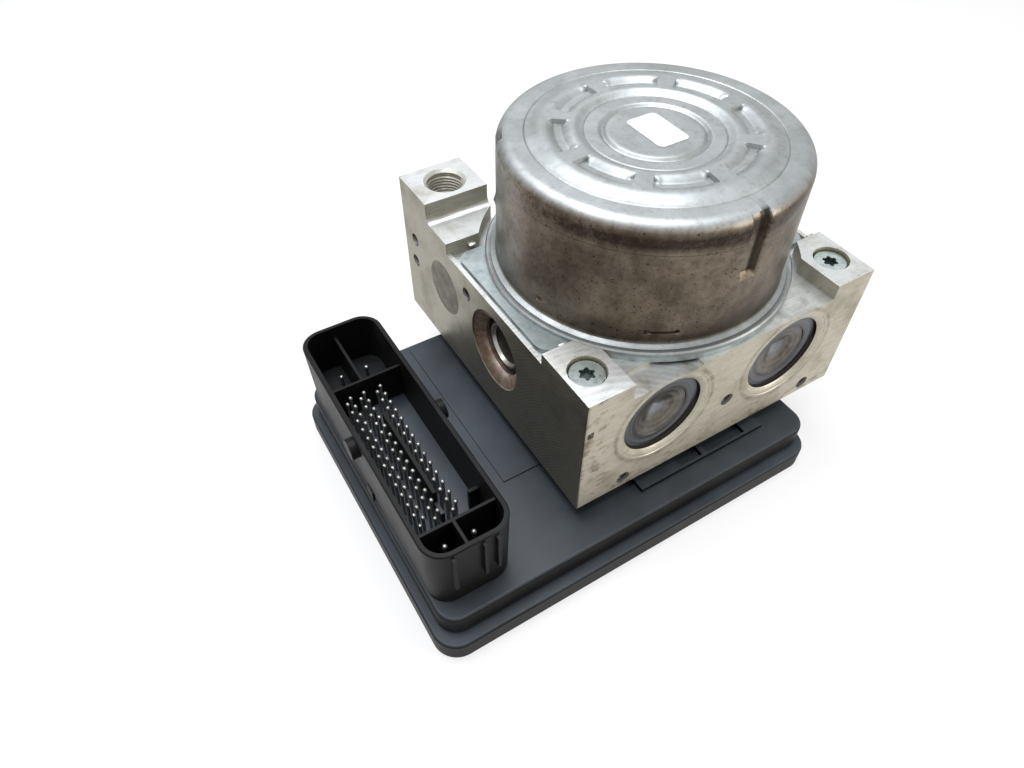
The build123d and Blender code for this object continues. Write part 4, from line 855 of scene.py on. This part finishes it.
def port_thread(name, mouth, axis, minor_radius, pitch, turns):
    """Spins a ridge into a bore, from its mouth inwards along a unit axis."""
    steps = 40
    inward = Vector(axis)
    side = Vector((1, 0, 0))
    start = Vector(mouth)
    shape = bmesh.new()
    outline_points = (
        start + side * (minor_radius + thread_sunk),
        start + side * (minor_radius - thread_ridge) + inward * pitch * 0.35,
        start + side * (minor_radius + thread_sunk) + inward * pitch * 0.7,
    )
    verts = [shape.verts.new(point) for point in outline_points]
    edges = [shape.edges.new(pair) for pair in zip(verts, verts[1:])]
    bmesh.ops.spin(
        shape,
        geom=verts + edges,
        cent=start,
        axis=inward,
        dvec=inward * pitch / steps,
        angle=math.tau * turns,
        steps=round(steps * turns),
    )
    return make_piece(name, shape, "block_aluminium")


master_r = 5.46 * mm
thread_pitch = 1.0 * mm
thread_turns = 9
master_x = right_x - 10.8 * mm
master_y = 46.4 * mm
first_crest_z = block_high.z - 1.4 * mm
for side_name, direction in (("left", -1), ("right", 1)):
    mouth = (direction * master_x, master_y, first_crest_z)
    name = "master_port_thread_" + side_name
    port_thread(name, mouth, (0, 0, -1), master_r, thread_pitch, thread_turns)



# %% Staked rings
ring_steps = 96


def staked_ring(name, centre, axis, profile):
    """Spins (radius, depth) points about an axis that points into the block."""
    inward = Vector(axis)
    side = Vector((0, 0, 1))
    middle = Vector(centre)
    shape = bmesh.new()
    verts = [shape.verts.new(middle + side * radius + inward * depth) for radius, depth in profile]
    edges = [shape.edges.new(pair) for pair in zip(verts, verts[1:])]
    bmesh.ops.spin(
        shape,
        geom=verts + edges,
        cent=middle,
        axis=inward,
        angle=math.tau,
        steps=ring_steps,
        use_merge=True,
    )
    bmesh.ops.remove_doubles(shape, verts=shape.verts, dist=merge_distance)
    return make_piece(name, shape, "block_aluminium")


cap_roll = [
    ((12.4 + 2.15 * step / 10) * mm, (1.3 - 1.2 * math.sin(math.pi * (0.1 + 0.05 * step))) * mm)
    for step in range(11)
]
mouth_roll = [
    ((8.7 + 3.5 * step / 10) * mm, (0.1 + 2.6 * (1 - (step / 10) ** 0.6)) * mm)
    for step in range(11)
]
for side_name, direction in (("left", -1), ("right", 1)):
    cap_centre = (direction * cap_x, front_y, cap_z)
    staked_ring("staked_cap_ring_" + side_name, cap_centre, (0, 1, 0), cap_roll)
    mouth_centre = (direction * right_x, pump_y, pump_z)
    staked_ring("staked_pump_ring_" + side_name, mouth_centre, (-direction, 0, 0), mouth_roll)


# %% Burrs of the punch
burr_spots = {
    "pad_left": (-41.2, -23.7, 60.4, 35),
    "pad_right": (44.1, -23.7, 60.4, 35),
    "post_left": (-39.4, 25.7, 58.5, 10),
}
for spot_name, (spot_x, spot_y, spot_z, tilt) in burr_spots.items():
    burr_shape = bmesh.new()
    bmesh.ops.create_cube(burr_shape, size=1.0)
    bmesh.ops.scale(burr_shape, vec=(2.2 * mm, 1.7 * mm, 0.7 * mm), verts=burr_shape.verts)
    bmesh.ops.bevel(
        burr_shape,
        geom=burr_shape.edges[:],
        offset=0.25 * mm,
        segments=2,
        profile=0.5,
        affect="EDGES",
    )
    turned = Matrix.Rotation(math.radians(tilt), 4, "X")
    placed = Matrix.Translation(Vector((spot_x, spot_y, spot_z)) * mm)
    burr_shape.transform(placed @ turned)
    make_piece("staking_burr_" + spot_name, burr_shape, "block_aluminium")


# %% [markdown]
# ## Pin tips
# The connector's pins end in small coined tips that catch the light. Each pin's place is found
# from the corners of its own solid.

# %% Pin tips
def pin_spots(node_name):
    spots = []
    for vert in frame["nodes"][node_name].data.vertices:
        corner = vert.co
        for corners in spots:
            if math.hypot(corner.x - corners[0].x, corner.y - corners[0].y) < 1.2 * mm:
                corners.append(corner.copy())
                break
        else:
            spots.append([corner.copy()])
    places = []
    for corners in spots:
        middle = sum(corners, Vector()) / len(corners)
        places.append(Vector((middle.x, middle.y, max(corner.z for corner in corners))))
    return places


for node_name, tip_radius in (("signal_pins", 0.64 * mm), ("power_pins", 0.76 * mm)):
    tips_shape = bmesh.new()
    places = pin_spots(node_name)
    for spot in places:
        bmesh.ops.create_icosphere(
            tips_shape, subdivisions=2, radius=tip_radius, matrix=Matrix.Translation(spot)
        )
    make_piece(node_name.replace("pins", "pin_tips"), tips_shape, "tin_plated", smooth_degrees=60)
    print(node_name, len(places))


# %% [markdown]
# ## Springs
# Each piston's spring shortens towards its seat as the piston slides. A node can't change its
# shape, so each spring is made a piece of its own with the node's mesh and its own copy of it.
# Its seat end and its axis are found from the node's box, and it keeps the node's length.

# %% Springs as pieces
pump_travel = 2.5 * mm
accumulator_travel = 8.0 * mm
springs = [
    ("pump_spring_left", "pump_piston_left_slide", 0, -1, pump_travel),
    ("pump_spring_right", "pump_piston_right_slide", 0, 1, pump_travel),
    ("accumulator_spring_left", "accumulator_left_slide", 1, -1, accumulator_travel),
    ("accumulator_spring_right", "accumulator_right_slide", 1, -1, accumulator_travel),
]
for node_name, joint, along, seat_side, travel in springs:
    low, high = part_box(node_name)
    seat = Vector((low + high) / 2)
    seat[along] = low[along] if seat_side < 0 else high[along]
    direction = [0, 0, 0]
    direction[along] = 1
    wire = bmesh.new()
    wire.from_mesh(frame["nodes"][node_name].data)
    spring = make_piece(node_name + "_coil", wire, "spring_steel", replaced=(node_name,))
    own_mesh(spring)


# %% [markdown]
# ## Floor, light and background
# The unit lies on a white table under a large soft lamp, with a second one at the right that
# lights the block's front. The background is white to the camera and to anything that mirrors it,
# and lights the unit at a lower level, so that its shadows stay soft but visible.

# %% Floor
floor_half_width = 2.0
floor_gap = 0.05 * mm
floor_glow = 0.72
floor_shape = bmesh.new()
bmesh.ops.create_grid(floor_shape, x_segments=1, y_segments=1, size=floor_half_width)
floor_mesh = bpy.data.meshes.new("floor")
floor_shape.to_mesh(floor_mesh)
floor_shape.free()
floor_mesh.transform(Matrix.Translation((0, 0, cad_box[0].z - floor_gap)))
floor = bpy.data.objects.new("floor", floor_mesh)
bpy.context.scene.collection.objects.link(floor)
paper, paper_tree, paper_shader, _ = start_material("white_paper")
paper_shader.inputs["Base Color"].default_value = linear("F7F7F7")
paper_shader.inputs["Roughness"].default_value = 0.9
paper_rays = add_node(paper_tree, "LightPath")
shown = calculate(
    paper_tree, "MAXIMUM", paper_rays.outputs["Is Camera Ray"], paper_rays.outputs["Is Glossy Ray"]
)
white = add_node(paper_tree, "Emission", {"Color": (1, 1, 1, 1), "Strength": 1.0})
blend = add_node(
    paper_tree,
    "MixShader",
    {
        0: times(paper_tree, shown, floor_glow),
        1: paper_shader.outputs[0],
        2: white.outputs[0],
    },
)
paper_output = next(node for node in paper_tree.nodes if node.type == "OUTPUT_MATERIAL")
paper_tree.links.new(blend.outputs[0], paper_output.inputs["Surface"])
floor_mesh.materials.append(paper)

# %% World
diffuse_level = 0.15
world = bpy.data.worlds.new("studio")
world.use_nodes = True
world_tree = world.node_tree
world_tree.nodes.clear()
rays = add_node(world_tree, "LightPath")
seen = calculate(
    world_tree, "MAXIMUM", rays.outputs["Is Camera Ray"], rays.outputs["Is Glossy Ray"]
)
seen_too = calculate(world_tree, "MAXIMUM", seen, rays.outputs["Is Transmission Ray"])
level = ramp(world_tree, seen_too, 0.0, 1.0, diffuse_level, 1.0)
sky = add_node(world_tree, "Background", {"Color": (1, 1, 1, 1), "Strength": level})
add_node(world_tree, "OutputWorld", {"Surface": sky.outputs[0]})
bpy.context.scene.world = world


# %% Lamps
def soft_lamp(name, position, aim, width, power, colour):
    data = bpy.data.lights.new(name, "AREA")
    data.shape = "SQUARE"
    data.size = width
    data.energy = power
    data.color = linear(colour)[:3]
    lamp = bpy.data.objects.new(name, data)
    lamp.location = position
    lamp.rotation_mode = "QUATERNION"
    lamp.rotation_quaternion = (Vector(aim) - Vector(position)).to_track_quat("-Z", "Y")
    bpy.context.scene.collection.objects.link(lamp)


soft_lamp("overhead", (-0.08, 0.12, 0.75), (-0.03, 0, 0.04), 0.6, 8.6, "F7F9FF")
soft_lamp("front_right", (0.45, -0.55, 0.3), (0, 0, 0.05), 0.4, 2.5, "FFF6E8")

# %% Colour management and the last line
bpy.context.scene.view_settings.view_transform = "Standard"
